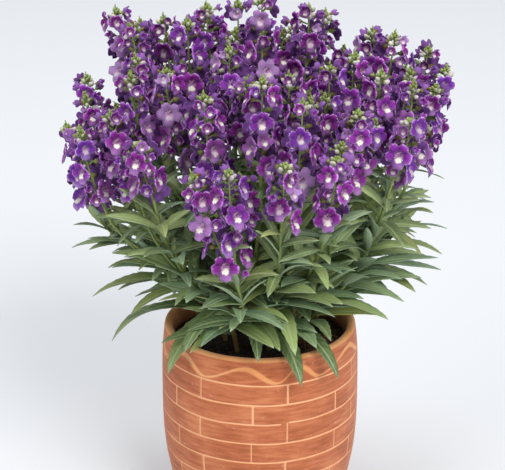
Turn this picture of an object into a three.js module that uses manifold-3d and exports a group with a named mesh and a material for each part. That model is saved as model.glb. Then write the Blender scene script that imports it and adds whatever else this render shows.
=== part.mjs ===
// A terracotta pot of summer snapdragon (angelonia): a barrel-shaped clay pot filled with
// potting soil, leafy stems that stand in holes in the soil, and violet flower spikes on them.
// Millimetres, +Z up. The origin is the centre of the pot's flat base; the front is -Y.
import * as THREE from 'three';
import Module from 'manifold-3d';
import { mergeVertices } from 'three/addons/utils/BufferGeometryUtils.js';

const wasm = await Module();
wasm.setup();

// Driving dimensions
const SEED = 1923;
const GAP = 0.3; // air between pieces that touch
const SEAT_EDGE = 0.1; // a stalk's root keeps this far from the edges of the face that it grows from
const SEAT_REACH = 3; // the face is chosen by a point this far out from the stalk's middle

const POT = {
  height: 160,
  segments: 28,
  wall: 7,
  floor: 12,
  lipRadius: 73.2,
  lipRound: 2.6,
  innerHeights: [112, 38], // where the inner wall bends
  // outer radius of the clay at each height, from the base to the shoulder
  outer: [[55, 0], [60.5, 7], [66, 21], [70.2, 38], [73.6, 57], [75.4, 80], [75.7, 112], [75.2, 138],
    [74, 152]],
};

const SOIL = {
  top: 147,
  bumps: 1.6,
  bumpRings: [50, 26], // radii at which the top rises and falls
  segments: 14,
  wallGap: 0.5, // the soil has fewer sides than the pot, so it keeps a little more than GAP
  lipGap: 0.7,
  holeDepth: 22,
  holeGap: 0.48,
};

const STEM = {
  trunkRadius: 2.4,
  branchRadius: 1.9,
  sideRoot: 0.95, // radius of a side branch where it leaves the stem
  endRadius: 1.6,
  sides: 4,
  branchSteps: 3,
  rootSpread: 0.3, // a stem stands this share of its spikes' mean distance from the pot's axis
  forkSpread: 0.42,
  forkHeight: 188,
  forkDistance: 48, // first side branch, measured along the stem from its foot
  forkStep: 14,
  sideLean: 0.5, // a side branch leaves level by this much more than straight toward its spike
  sideSides: 3,
  ease: 0.4, // a branch keeps its first and last direction for this share of its span
};

const SPIKE = {
  length: 80,
  lean: 0.0021, // outward slope of a spike for each millimetre that its tip is off the axis
  baseRadius: 1.6,
  tipRadius: 1.1,
  sides: 3,
  steps: [0, 0.27, 0.54, 0.82, 0.93, 1], // rings along the spike, by share of its length
  bow: 3, // a spike bends out this much in the middle
  bloomShare: 0.8, // the blooms take this share of the spike, buds take the rest
  firstBloom: 4,
  bloomStep: 7.2,
  turn: 137.5,
  endBud: 2.3,
  endPoint: 0.3,
};

const BLOOM = {
  sizes: [1.06, 0.82], // at the lower and the upper end of a spike
  vary: [0.95, 1.05],
  tilt: [4, 20], // degrees that the face looks up
  jitter: 0.25, // a bloom is up to this share of a step out of place
  reach: 9.5, // from the root of its stalk to the bloom's face
  rise: 3,
  recess: 3,
  stalkRadius: 0.55,
  // the five lobes from the top, anticlockwise, and the notches between them: angle, radius, lift
  rim: [[0, 6, 0.2], [33, 8.6, 1], [66, 6.8, 0.2], [100, 9.4, 0.8], [140, 7.2, 0], [180, 10, -1],
    [220, 7.2, 0], [260, 9.4, 0.8], [294, 6.8, 0.2], [327, 8.6, 1]],
};

const BUD = {
  place: 0.82, // share of the spike's length
  length: 7.5,
  radius: 2.2,
  stalkRadius: 0.5,
  lift: 1.1, // rise for each millimetre outward
};

const LEAF = {
  length: 66,
  topLength: 40, // beside the flowers the leaves are shorter
  widthShare: 0.215,
  thickness: 0.8,
  fold: 14, // each half of the blade rises this much from the midrib, in degrees
  rootRadius: 0.75,
  spacing: 30,
  leafyShare: 0.83, // the rest of a stalk, under the flowers, is bare
  clearFoot: 16, // no leaves this near to the soil
  clearFork: 12,
  jitter: 0.3, // a pair is up to this share of the spacing out of place
  vary: [0.88, 1.12],
  turn: [-8, 8],
  roll: [-10, 10],
  rise: [26, 42], // slope at the root
  drop: [-24, -6], // slope at the tip
  riseGain: 16, // the leaves below the flowers rise this much more, and their tips too
  dropGain: 32,
  lowRise: 20,
  inward: -0.1, // leaves that point further inward than this are left off
  // half outline: place along the blade and share of the half width; teeth, then notches
  outline: [[0.24, 0.84], [0.5, 1], [0.58, 0.8], [0.8, 0.6]],
  rib: [0.36, 0.7],
};

// Each leafy stem, by the flower spikes that it carries: the tip's x, y, z, then, where they are
// not as in SPIKE, the length and the slope along x and y
const STEMS = [
  [[-143, -14, 327, 78], [-131, 32, 350]],
  [[-107, -62, 352], [-68, -36, 377], [-92, 4, 374]],
  [[-110, 68, 392], [-94, 106, 372]],
  [[-54, 24, 396], [-74, 72, 385]],
  [[-42, 108, 384], [-62, 134, 345], [-17, 72, 397]],
  [[-40, -77, 371], [-49, -124, 330, 96, -0.34, -0.16], [-84, -98, 340, 50]],
  [[1, -78, 383], [-22, -132, 333, 66]],
  [[1, 14, 416], [36, 38, 402], [-22, -26, 390]],
  [[20, -40, 374], [29, -90, 370], [16, -134, 338, 58]],
  [[50, -18, 374], [70, 16, 372]],
  [[52, -122, 338, 58], [68, -84, 360, 72]],
  [[50, 82, 386], [42, 128, 358], [-8, 122, 366]],
  [[100, 22, 386], [86, 72, 374], [93, 112, 346]],
  [[86, -48, 378], [105, -77, 350, 50]],
  [[128, 52, 366], [138, 8, 364]],
  [[118, -46, 334, 46], [122, 92, 338]],
];

// Long low leaves that hang over the rim or reach out beside it: stem number, height where the leaf
// leaves the stem, direction from the front toward +X, length, slope at the tip
const LOW_LEAVES = [
  [2, 168, -34, 74, -58], [9, 168, 22, 70, -58], [11, 170, 40, 62, -62], [7, 178, 4, 54, -44],
  [14, 174, 74, 60, -6], [1, 170, -82, 74, -60],
  [3, 168, -140, 74, -54], [13, 168, 142, 74, -54], [12, 168, 176, 72, -54], [5, 168, -166, 72, -54],
  [16, 208, 82, 74, -24], [15, 204, 104, 72, -22], [14, 208, 60, 70, -18], [1, 194, -82, 70, -34],
  [2, 196, -62, 66, -38], [6, 192, -28, 68, -40], [9, 190, 14, 68, -42],
];

// How a leaf or a bloom that meets a neighbour is turned, tilted and made smaller, in the order tried
const TRIES = {
  leafTurns: [0, 14, -14, 28, -28, 42, -42],
  leafTilts: [0, 12, -12],
  leafClearance: 0.5,
  bloomSizes: [1, 0.92, 0.84],
  bloomTurns: [0, 12, -12, 24, -24, 36, -36, 48, -48],
  bloomClearance: 0.35,
};

const COLOURS = {
  clay: 0xc97c59,
  soil: 0x2b211b,
  leaf: 0x4c6b3a,
  petal: 0x6a2a9a,
};

const rad = THREE.MathUtils.degToRad;
const UP = new THREE.Vector3(0, 0, 1);
const ACROSS = new THREE.Vector3(1, 0, 0);

// A repeatable stream of numbers from 0 to 1
function stream(seed) {
  let state = seed >>> 0;
  return () => {
    state = (state + 0x6d2b79f5) >>> 0;
    let mixed = state;
    mixed = Math.imul(mixed ^ (mixed >>> 15), mixed | 1);
    mixed ^= mixed + Math.imul(mixed ^ (mixed >>> 7), mixed | 61);
    return ((mixed ^ (mixed >>> 14)) >>> 0) / 4294967296;
  };
}

function draw(random, [low, high]) {
  return low + (high - low) * random();
}

// Meshes and solids

// A mesh as points and triangles, turned right side out; centre is a point on its open root, if any
function shell(points, faces, centre = points[0]) {
  let volume = 0;
  const [p, q, r] = [new THREE.Vector3(), new THREE.Vector3(), new THREE.Vector3()];
  for (const [a, b, c] of faces) {
    p.subVectors(points[a], centre);
    q.subVectors(points[b], centre);
    r.subVectors(points[c], centre);
    volume += p.dot(q.cross(r));
  }
  const outward = volume > 0 ? faces : faces.map(([a, b, c]) => [a, c, b]);
  return { points, faces: outward, box: new THREE.Box3().setFromPoints(points) };
}

function geometryToSolid(geometry) {
  geometry.deleteAttribute('normal');
  geometry.deleteAttribute('uv');
  const merged = mergeVertices(geometry, 1e-4);
  return new wasm.Manifold(new wasm.Mesh({
    numProp: 3,
    vertProperties: merged.attributes.position.array,
    triVerts: new Uint32Array(merged.index.array),
  }));
}

function toShell(solid) {
  const mesh = solid.getMesh();
  const points = [];
  for (let i = 0; i < mesh.vertProperties.length; i += mesh.numProp) {
    points.push(new THREE.Vector3().fromArray(mesh.vertProperties, i));
  }
  const faces = [];
  for (let i = 0; i < mesh.triVerts.length; i += 3) {
    faces.push([mesh.triVerts[i], mesh.triVerts[i + 1], mesh.triVerts[i + 2]]);
  }
  return { points, faces, box: new THREE.Box3().setFromPoints(points) };
}

function toMesh(name, { points, faces }, material) {
  const geometry = new THREE.BufferGeometry().setFromPoints(points);
  geometry.setIndex(faces.filter(Boolean).flat());
  geometry.computeVertexNormals();
  const result = new THREE.Mesh(geometry, material);
  result.name = name;
  return result;
}

function paint(color, roughness) {
  return new THREE.MeshStandardMaterial({ color, roughness, metalness: 0 });
}

// Does any edge of one mesh pass through a face of the other?
const ray = new THREE.Ray();
const hit = new THREE.Vector3();

function edgesCross(from, into, box) {
  for (const [a, b, c] of from.faces) {
    for (const [start, end] of [[a, b], [b, c], [c, a]]) {
      if (start > end) continue;
      const p = from.points[start];
      const q = from.points[end];
      if (Math.min(p.x, q.x) > box.max.x || Math.max(p.x, q.x) < box.min.x) continue;
      if (Math.min(p.y, q.y) > box.max.y || Math.max(p.y, q.y) < box.min.y) continue;
      if (Math.min(p.z, q.z) > box.max.z || Math.max(p.z, q.z) < box.min.z) continue;
      const length = p.distanceTo(q);
      ray.origin.copy(p);
      ray.direction.subVectors(q, p).divideScalar(length);
      for (const [i, j, k] of into.faces) {
        if (!ray.intersectTriangle(into.points[i], into.points[j], into.points[k], false, hit)) continue;
        if (hit.distanceTo(p) <= length) return true;
      }
    }
  }
  return false;
}

function cross(one, other) {
  if (!one.box.intersectsBox(other.box)) return false;
  const shared = one.box.clone().intersect(other.box);
  return edgesCross(one, other, shared) || edgesCross(other, one, shared);
}

// Everything placed so far, each with the node that it belongs to
const placed = [];

function place(node, kind, body) {
  placed.push({ node, kind, body });
}

// A body is clear if it crosses nothing but the stalk that it grows from
function isClear(node, probe) {
  return placed.every((item) => (item.node === node && item.kind === 'stalk') || !cross(probe, item.body));
}

// Pot and soil

function potSolid() {
  const { height, wall, floor, lipRadius, lipRound, outer } = POT;
  const profile = [new THREE.Vector2(0, 0)];
  for (const [radius, z] of outer) profile.push(new THREE.Vector2(radius, z));
  profile.push(new THREE.Vector2(lipRadius, height - lipRound / 2));
  profile.push(new THREE.Vector2(lipRadius - lipRound / 2, height));
  profile.push(new THREE.Vector2(lipRadius - wall + lipRound / 2, height));
  profile.push(new THREE.Vector2(lipRadius - wall, height - lipRound / 2));
  for (const z of POT.innerHeights) profile.push(new THREE.Vector2(potRadius(z) - wall, z));
  profile.push(new THREE.Vector2(potRadius(floor) - wall, floor));
  profile.push(new THREE.Vector2(0, floor));
  return toShell(geometryToSolid(new THREE.LatheGeometry(profile, POT.segments).rotateX(Math.PI / 2)));
}

// Outer radius of the clay at a height
function potRadius(z) {
  const points = POT.outer;
  for (let i = 1; i < points.length; i += 1) {
    const [r0, z0] = points[i - 1];
    const [r1, z1] = points[i];
    if (z <= z1) return r0 + ((r1 - r0) * (z - z0)) / (z1 - z0);
  }
  return points[points.length - 1][0];
}

// Soil that fills the pot, with a low uneven top and a hole for each stem
function soilSolid(roots) {
  const inset = POT.wall + SOIL.wallGap;
  const bottom = POT.floor + GAP;
  const profile = [new THREE.Vector2(0, bottom), new THREE.Vector2(potRadius(POT.floor) - inset, bottom)];
  for (const z of [...POT.innerHeights].reverse()) profile.push(new THREE.Vector2(potRadius(z) - inset, z));
  profile.push(new THREE.Vector2(POT.lipRadius - POT.wall - SOIL.lipGap, SOIL.top - 2));
  for (const radius of SOIL.bumpRings) profile.push(new THREE.Vector2(radius, SOIL.top));
  profile.push(new THREE.Vector2(0, SOIL.top + SOIL.bumps));
  const geometry = new THREE.LatheGeometry(profile, SOIL.segments).rotateX(Math.PI / 2);
  const position = geometry.attributes.position;
  for (let i = 0; i < position.count; i += 1) {
    const x = position.getX(i);
    const y = position.getY(i);
    if (position.getZ(i) === SOIL.top) {
      position.setZ(i, SOIL.top + SOIL.bumps * Math.sin(x * 0.11 + 1.3) * Math.cos(y * 0.09 - 0.4));
    }
  }
  let soil = geometryToSolid(geometry);
  for (const root of roots) {
    const radius = STEM.trunkRadius + SOIL.holeGap;
    const hole = new THREE.CylinderGeometry(radius, radius, SOIL.holeDepth * 2, STEM.sides)
      .rotateX(Math.PI / 2).translate(root.x, root.y, SOIL.top);
    soil = soil.subtract(geometryToSolid(hole));
  }
  return toShell(soil);
}

// Stems, leaves, blooms and buds

// Points round a centre, anticlockwise as seen from the tip of the axis, from the direction zero
function ring(centre, axis, zero, radius, sides) {
  const first = zero.clone().addScaledVector(axis, -zero.dot(axis)).normalize();
  const second = new THREE.Vector3().crossVectors(axis, first);
  return Array.from({ length: sides }, (_, k) => {
    const angle = (2 * Math.PI * k) / sides;
    return centre.clone().addScaledVector(first, radius * Math.cos(angle))
      .addScaledVector(second, radius * Math.sin(angle));
  });
}

// Triangles between two rings of as many points
function band(from, to, sides) {
  const faces = [];
  for (let k = 0; k < sides; k += 1) {
    const next = (k + 1) % sides;
    faces.push([from + k, from + next, to + next], [from + k, to + next, to + k]);
  }
  return faces;
}

// A tapering tube with few sides along a list of points; its ends may face along axes of their own
function tube(path, radii, sides, zero, { startAxis, endAxis, open = false } = {}) {
  const last = path.length - 1;
  const points = path.flatMap((centre, i) => {
    const before = path[Math.max(i - 1, 0)];
    const after = path[Math.min(i + 1, last)];
    let along = after.clone().sub(before).normalize();
    if (i === 0) along = startAxis ?? along;
    if (i === last) along = endAxis ?? along;
    return ring(centre, along, zero, radii[i], sides);
  });
  const faces = path.slice(1).flatMap((_, i) => band(i * sides, (i + 1) * sides, sides));
  const free = faces.map((_, i) => i);
  const end = last * sides;
  for (let k = 1; k < sides - 1; k += 1) {
    faces.push([end, end + k, end + k + 1]);
    if (!open) faces.push([0, k + 1, k]);
  }
  return { ...shell(points, faces, path[0]), path, free, root: [0, 1, 2] };
}

// The place on one free face of a stalk that is nearest to a distance along it and a heading
function seat({ path, mesh, free }, distance, heading, radius) {
  let step = 0;
  let left = distance;
  while (step < path.length - 2 && left > path[step].distanceTo(path[step + 1])) {
    left -= path[step].distanceTo(path[step + 1]);
    step += 1;
  }
  const target = path[step].clone().lerp(path[step + 1], left / path[step].distanceTo(path[step + 1]))
    .addScaledVector(heading, SEAT_REACH);
  let best = null;
  for (const face of free) {
    const [a, b, c] = mesh.faces[face].map((i) => mesh.points[i]);
    const sides = [b.distanceTo(c), c.distanceTo(a), a.distanceTo(b)];
    const round = sides[0] + sides[1] + sides[2];
    const triangle = new THREE.Triangle(a, b, c);
    const inner = (2 * triangle.getArea()) / round;
    const room = 1 - (radius + SEAT_EDGE) / inner;
    if (room <= 0) continue;
    const middle = a.clone().multiplyScalar(sides[0]).addScaledVector(b, sides[1])
      .addScaledVector(c, sides[2]).divideScalar(round);
    const [d, e, f] = [a, b, c].map((corner) => middle.clone().lerp(corner, room));
    const point = new THREE.Triangle(d, e, f).closestPointToPoint(target, new THREE.Vector3());
    const miss = point.distanceTo(target);
    const axis = triangle.getNormal(new THREE.Vector3());
    if (!best || miss < best.miss) best = { miss, point, face, axis };
  }
  return best;
}

// The triangles between a face's three corners and the three points of a root inside it
function collar(points, outer, root, axis) {
  const area = (i, j, k) => new THREE.Vector3().subVectors(points[j], points[i])
    .cross(new THREE.Vector3().subVectors(points[k], points[i])).dot(axis);
  const inner = area(...root) > 0 ? root : [...root].reverse();
  let best = null;
  const walk = (start, i, j, list, least) => {
    if (best && least <= best.least) return;
    if (i === 3 && j === 3) {
      best = { least, list };
      return;
    }
    const here = outer[i % 3];
    const there = inner[(start + j) % 3];
    if (i < 3) {
      const face = [here, outer[(i + 1) % 3], there];
      walk(start, i + 1, j, [...list, face], Math.min(least, area(...face)));
    }
    if (j < 3) {
      const face = [here, inner[(start + j + 1) % 3], there];
      walk(start, i, j + 1, [...list, face], Math.min(least, area(...face)));
    }
  };
  for (const start of [0, 1, 2]) walk(start, 0, 0, [], Infinity);
  return best.list;
}

// Grows a body out of its seat on a stalk, so that both are one closed mesh
function attach(stalk, { face, axis }, body) {
  const { points, faces } = stalk.mesh;
  const [firstPoint, firstFace] = [points.length, faces.length];
  points.push(...body.points);
  faces.push(...body.faces.map((corners) => corners.map((i) => i + firstPoint)));
  faces.push(...collar(points, faces[face], body.root.map((i) => i + firstPoint), axis));
  faces[face] = null;
  stalk.free = stalk.free.filter((other) => other !== face);
  return firstFace;
}

// One leaf: a folded, arching, toothed blade that widens from its root on the stem
function leafShell({ origin, axis, azimuth, rise, drop, length, width, roll, grow = 0 }) {
  const heading = compass(azimuth);
  const level = new THREE.Vector3().crossVectors(UP, heading);
  const bend = drop - rise; // change of slope from root to tip
  const at = (share) => {
    const slope = rise + bend * share;
    const run = (length / bend) * (Math.sin(slope) - Math.sin(rise));
    const lift = (length / bend) * (Math.cos(rise) - Math.cos(slope));
    const along = heading.clone().multiplyScalar(Math.cos(slope)).addScaledVector(UP, Math.sin(slope));
    const side = level.clone().applyAxisAngle(along, roll);
    return {
      point: origin.clone().addScaledVector(heading, run).addScaledVector(UP, lift),
      side,
      over: new THREE.Vector3().crossVectors(along, side),
    };
  };
  const points = ring(origin, axis, UP.clone().negate(), LEAF.rootRadius, 3);
  const add = ({ point, side, over }, out, up) => {
    points.push(point.clone().addScaledVector(side, out).addScaledVector(over, up));
    return points.length - 1;
  };
  const fold = rad(LEAF.fold);
  const [left, right] = [1, -1].map((hand) => LEAF.outline.map(([share, wide]) => {
    const out = (width / 2) * wide + grow;
    return add(at(share), hand * out * Math.cos(fold), out * Math.sin(fold));
  }));
  const thick = LEAF.thickness / 2 + grow;
  const top = LEAF.rib.map((share) => add(at(share), 0, thick));
  const under = LEAF.rib.map((share) => add(at(share), 0, -thick));
  const tip = add(at(1), 0, 0);
  const half = (rib, edge, corner) => [
    [corner, edge[0], rib[0]], [edge[0], edge[1], rib[0]], [edge[1], rib[1], rib[0]],
    [edge[1], edge[2], rib[1]], [edge[2], edge[3], rib[1]], [edge[3], tip, rib[1]],
  ];
  const flip = (faces) => faces.map(([a, b, c]) => [a, c, b]);
  const faces = [
    ...half(top, left, 1), ...flip(half(top, right, 2)), [1, top[0], 2],
    ...flip(half(under, left, 1)), [1, 0, under[0]], ...half(under, right, 2), [2, under[0], 0],
  ];
  return { ...shell(points, faces), root: [0, 1, 2] };
}

// One bloom: five lobes round a sunken throat, on a tube that narrows to its stalk on the spike
function bloomShell({ origin, axis, centre, normal, size, grow = 0 }) {
  const points = ring(origin, axis, UP, BLOOM.stalkRadius, 3);
  points.push(centre.clone().addScaledVector(normal, (grow - BLOOM.recess) * size));
  for (const [degrees, radius, lift] of BLOOM.rim) {
    const zero = UP.clone().applyAxisAngle(normal, rad(degrees));
    const [point] = ring(centre, normal, zero, radius * size + grow * 2, 1);
    points.push(point.addScaledVector(normal, lift * size));
  }
  const faces = [];
  const count = BLOOM.rim.length;
  const rim = (i) => 4 + (i % count);
  // the root corner behind a rim edge
  const behind = (i) => Math.floor((((i + 1.5) % count) * 3) / count);
  for (let i = 0; i < count; i += 1) {
    faces.push([3, rim(i), rim(i + 1)], [behind(i), rim(i + 1), rim(i)]);
    if (behind(i + 1) !== behind(i)) faces.push([behind(i), behind(i + 1), rim(i + 1)]);
  }
  return { ...shell(points, faces), root: [0, 1, 2] };
}

// One bud: a three-sided spindle
function budShell({ origin, axis, direction }) {
  const points = ring(origin, axis, UP, BUD.stalkRadius, 3);
  const middle = origin.clone().addScaledVector(direction, BUD.length / 2);
  points.push(...ring(middle, direction, UP, BUD.radius, 3));
  points.push(origin.clone().addScaledVector(direction, BUD.length));
  const faces = [...band(0, 3, 3), [3, 4, 6], [4, 5, 6], [5, 3, 6]];
  return { ...shell(points, faces), root: [0, 1, 2] };
}

// The level direction at an angle from the front, turning toward +X
function compass(angle) {
  return new THREE.Vector3(Math.sin(angle), -Math.cos(angle), 0);
}

// The plan of every stem and spike

function planSpike([x, y, z, length = SPIKE.length, slopeX = x * SPIKE.lean, slopeY = y * SPIKE.lean]) {
  const tip = new THREE.Vector3(x, y, z);
  const direction = new THREE.Vector3(slopeX, slopeY, 1).normalize();
  return { tip, direction, length, base: tip.clone().addScaledVector(direction, -length) };
}

function planStem(tips) {
  const spikes = tips.map((tip) => planSpike(tip));
  const mean = new THREE.Vector3();
  for (const { tip } of spikes) mean.add(tip);
  mean.divideScalar(spikes.length).setZ(0);
  const foot = mean.clone().multiplyScalar(STEM.rootSpread).setZ(SOIL.top - SOIL.holeDepth + GAP);
  const ground = foot.clone().setZ(SOIL.top + SOIL.bumps);
  const fork = mean.clone().multiplyScalar(STEM.forkSpread).setZ(STEM.forkHeight);
  return { spikes, foot, ground, fork };
}

// The curve from a place on a stem up to the lower end of a spike
function branchCurve(start, leave, { base, direction }) {
  const end = base.clone().addScaledVector(direction, -GAP);
  const span = start.distanceTo(end) * STEM.ease;
  return new THREE.CubicBezierCurve3(start, start.clone().addScaledVector(leave, span),
    end.clone().addScaledVector(direction, -span), end);
}

// The stalk from the soil to a stem's first spike
function mainStalk({ spikes, foot, ground, fork }) {
  const leave = new THREE.Vector3().subVectors(fork, ground).normalize();
  const rise = branchCurve(fork, leave, spikes[0]).getPoints(STEM.branchSteps);
  const radii = rise.map((_, i) => (
    THREE.MathUtils.lerp(STEM.branchRadius, STEM.endRadius, i / STEM.branchSteps)));
  return tube([foot, ground, ...rise], [STEM.trunkRadius, STEM.trunkRadius, ...radii], STEM.sides, ACROSS,
    { endAxis: spikes[0].direction });
}

function spikeStalk({ base, tip, direction }) {
  const outward = tip.clone().setZ(0).normalize();
  const path = SPIKE.steps.map((share) => (
    base.clone().lerp(tip, share).addScaledVector(outward, SPIKE.bow * Math.sin(Math.PI * share))));
  const radii = SPIKE.steps.map((share) => THREE.MathUtils.lerp(SPIKE.baseRadius, SPIKE.tipRadius, share));
  radii[radii.length - 2] = SPIKE.endBud;
  radii[radii.length - 1] = SPIKE.endPoint;
  return tube(path, radii, SPIKE.sides, ACROSS, { startAxis: direction });
}

// A node starts as one stalk, and what grows on it joins its mesh
function startNode(name, body) {
  const mesh = { points: [...body.points], faces: [...body.faces] };
  place(name, 'stalk', body);
  return { name, mesh, stalks: [{ mesh, path: body.path, free: body.free }] };
}

// Grows a side branch out of a stem toward one more spike
function addSideBranch({ name, mesh, stalks }, plan, spike, order) {
  const toward = new THREE.Vector3().subVectors(spike.base, plan.fork).normalize();
  const level = toward.clone().setZ(0).normalize();
  const spot = seat(stalks[0], STEM.forkDistance + STEM.forkStep * order, level, STEM.sideRoot);
  const leave = toward.addScaledVector(level, STEM.sideLean).normalize();
  const path = branchCurve(spot.point, leave, spike).getPoints(STEM.branchSteps);
  const radii = path.map((_, i) => (i === 0 ? STEM.sideRoot : STEM.endRadius));
  const body = tube(path, radii, STEM.sideSides, UP.clone().addScaledVector(level, -2),
    { startAxis: spot.axis, endAxis: spike.direction, open: true });
  const firstFace = attach(stalks[0], spot, body);
  place(name, 'stalk', body);
  stalks.push({ mesh, path, free: body.free.map((face) => face + firstFace) });
}

function stalkLength({ path }) {
  return path.slice(1).reduce((sum, point, i) => sum + point.distanceTo(path[i]), 0);
}

// Tries a leaf a little turned or tilted until it is clear of its neighbours
function addLeaf(name, stalk, distance, settings) {
  const spot = seat(stalk, distance, compass(settings.azimuth), LEAF.rootRadius);
  if (!spot) return;
  for (const turn of TRIES.leafTurns) {
    for (const tilt of TRIES.leafTilts) {
      const leaf = { ...settings, origin: spot.point, axis: spot.axis,
        azimuth: settings.azimuth + rad(turn), rise: settings.rise + rad(tilt) };
      if (isClear(name, leafShell({ ...leaf, grow: TRIES.leafClearance }))) {
        const body = leafShell(leaf);
        place(name, 'leaf', body);
        attach(stalk, spot, body);
        return;
      }
    }
  }
}

// Pairs of opposite leaves along every stalk of a stem, each pair a quarter turn from the last
function addLeaves({ name, stalks }, random) {
  stalks.forEach((stalk, order) => {
    const length = stalkLength(stalk);
    const from = order === 0 ? SOIL.holeDepth + LEAF.clearFoot : LEAF.clearFork;
    const count = Math.floor((length * LEAF.leafyShare - from) / LEAF.spacing);
    let facing = random() * 360;
    for (let i = 0; i < count; i += 1) {
      const distance = from + LEAF.spacing * (i + LEAF.jitter * random());
      const share = (distance - from) / (length - from);
      facing += 90;
      for (const opposite of [0, 180]) {
        const azimuth = rad(facing + opposite + draw(random, LEAF.turn));
        const long = THREE.MathUtils.lerp(LEAF.length, LEAF.topLength, share) * draw(random, LEAF.vary);
        const settings = {
          azimuth,
          rise: rad(draw(random, LEAF.rise) + LEAF.riseGain * share),
          drop: rad(draw(random, LEAF.drop) + LEAF.dropGain * share),
          length: long,
          width: long * LEAF.widthShare,
          roll: rad(draw(random, LEAF.roll)),
        };
        const { x, y } = stalk.path[stalk.path.length - 1];
        const outward = new THREE.Vector3(x, y, 0).normalize();
        if (compass(azimuth).dot(outward) > LEAF.inward) addLeaf(name, stalk, distance, settings);
      }
    }
  });
}

// A long low leaf that arches over the rim
function addLowLeaf({ name, stalks }, height, direction, length, drop) {
  addLeaf(name, stalks[0], height - stalks[0].path[0].z, {
    azimuth: rad(direction),
    rise: rad(LEAF.lowRise),
    drop: rad(drop),
    length,
    width: length * LEAF.widthShare,
    roll: 0,
  });
}

// Tries a bloom a little turned or smaller until it is clear of its neighbours
function addBloom(name, stalk, along, facing, tilt, size) {
  for (const shrink of TRIES.bloomSizes) {
    for (const turn of TRIES.bloomTurns) {
      const outward = compass(rad(facing + turn));
      const spot = seat(stalk, along, outward, BLOOM.stalkRadius);
      if (!spot) return;
      const bloom = {
        origin: spot.point,
        axis: spot.axis,
        centre: spot.point.clone().addScaledVector(outward, BLOOM.reach * (0.5 + 0.5 * shrink))
          .addScaledVector(UP, BLOOM.rise),
        normal: outward.clone().multiplyScalar(Math.cos(tilt)).addScaledVector(UP, Math.sin(tilt)),
        size: size * shrink,
      };
      if (isClear(name, bloomShell({ ...bloom, grow: TRIES.bloomClearance }))) {
        const body = bloomShell(bloom);
        place(name, 'bloom', body);
        attach(stalk, spot, body);
        return;
      }
    }
  }
}

function addBlooms({ name, stalks: [stalk] }, random) {
  const length = stalkLength(stalk);
  const count = Math.round((length * SPIKE.bloomShare) / SPIKE.bloomStep);
  const start = random() * 360;
  for (let i = 0; i < count; i += 1) {
    const along = SPIKE.firstBloom + SPIKE.bloomStep * (i + BLOOM.jitter * random());
    const size = THREE.MathUtils.lerp(...BLOOM.sizes, i / count) * draw(random, BLOOM.vary);
    addBloom(name, stalk, along, start + SPIKE.turn * i, rad(draw(random, BLOOM.tilt)), size);
  }
}

function addBud({ name, stalks: [stalk] }, random) {
  const outward = compass(rad(random() * 360));
  const spot = seat(stalk, BUD.place * stalkLength(stalk), outward, BUD.stalkRadius);
  const direction = outward.clone().addScaledVector(UP, BUD.lift).normalize();
  const body = budShell({ origin: spot.point, axis: spot.axis, direction });
  if (!isClear(name, body)) return;
  place(name, 'bud', body);
  attach(stalk, spot, body);
}

// Assembly

const random = stream(SEED);
const plans = STEMS.map(planStem);
const number = (i) => String(i + 1).padStart(2, '0');
const pot = potSolid();
const soil = soilSolid(plans.map((plan) => plan.foot));
place('pot', 'pot', pot);
place('soil', 'soil', soil);

const stems = plans.map((plan, i) => {
  const stem = startNode(`stem_${number(i)}`, mainStalk(plan));
  plan.spikes.slice(1).forEach((spike, order) => addSideBranch(stem, plan, spike, order));
  return stem;
});
const spikes = plans.flatMap((plan) => plan.spikes)
  .map((spike, i) => startNode(`spike_${number(i)}`, spikeStalk(spike)));
for (const [stem, ...settings] of LOW_LEAVES) addLowLeaf(stems[stem - 1], ...settings);
for (const stem of stems) addLeaves(stem, random);
for (const spike of spikes) addBlooms(spike, random);
for (const spike of spikes) addBud(spike, random);

const group = new THREE.Group();
group.name = 'potted_angelonia';
group.add(toMesh('pot', pot, paint(COLOURS.clay, 0.8)));
group.add(toMesh('soil', soil, paint(COLOURS.soil, 0.95)));
for (const { name, mesh } of stems) group.add(toMesh(name, mesh, paint(COLOURS.leaf, 0.6)));
for (const { name, mesh } of spikes) group.add(toMesh(name, mesh, paint(COLOURS.petal, 0.6)));

export default group;
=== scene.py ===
"""Potted angelonia in a carved clay pot: the dressed model with its studio and camera.

The CAD nodes say where everything is. Each bloom, leaf and bud is found again in a merged copy of its
node, and a finer one is grown in its place. The plant is worked out in millimetres and brought to
metres when a piece is finished.
"""

import logging
import math
import random
from collections.abc import Callable, Iterable, Sequence
from dataclasses import dataclass, field
from enum import IntEnum
from functools import partial

import bmesh
import bpy
import numpy
from mathutils import Matrix, Vector, noise
from mathutils.bvhtree import BVHTree


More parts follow.
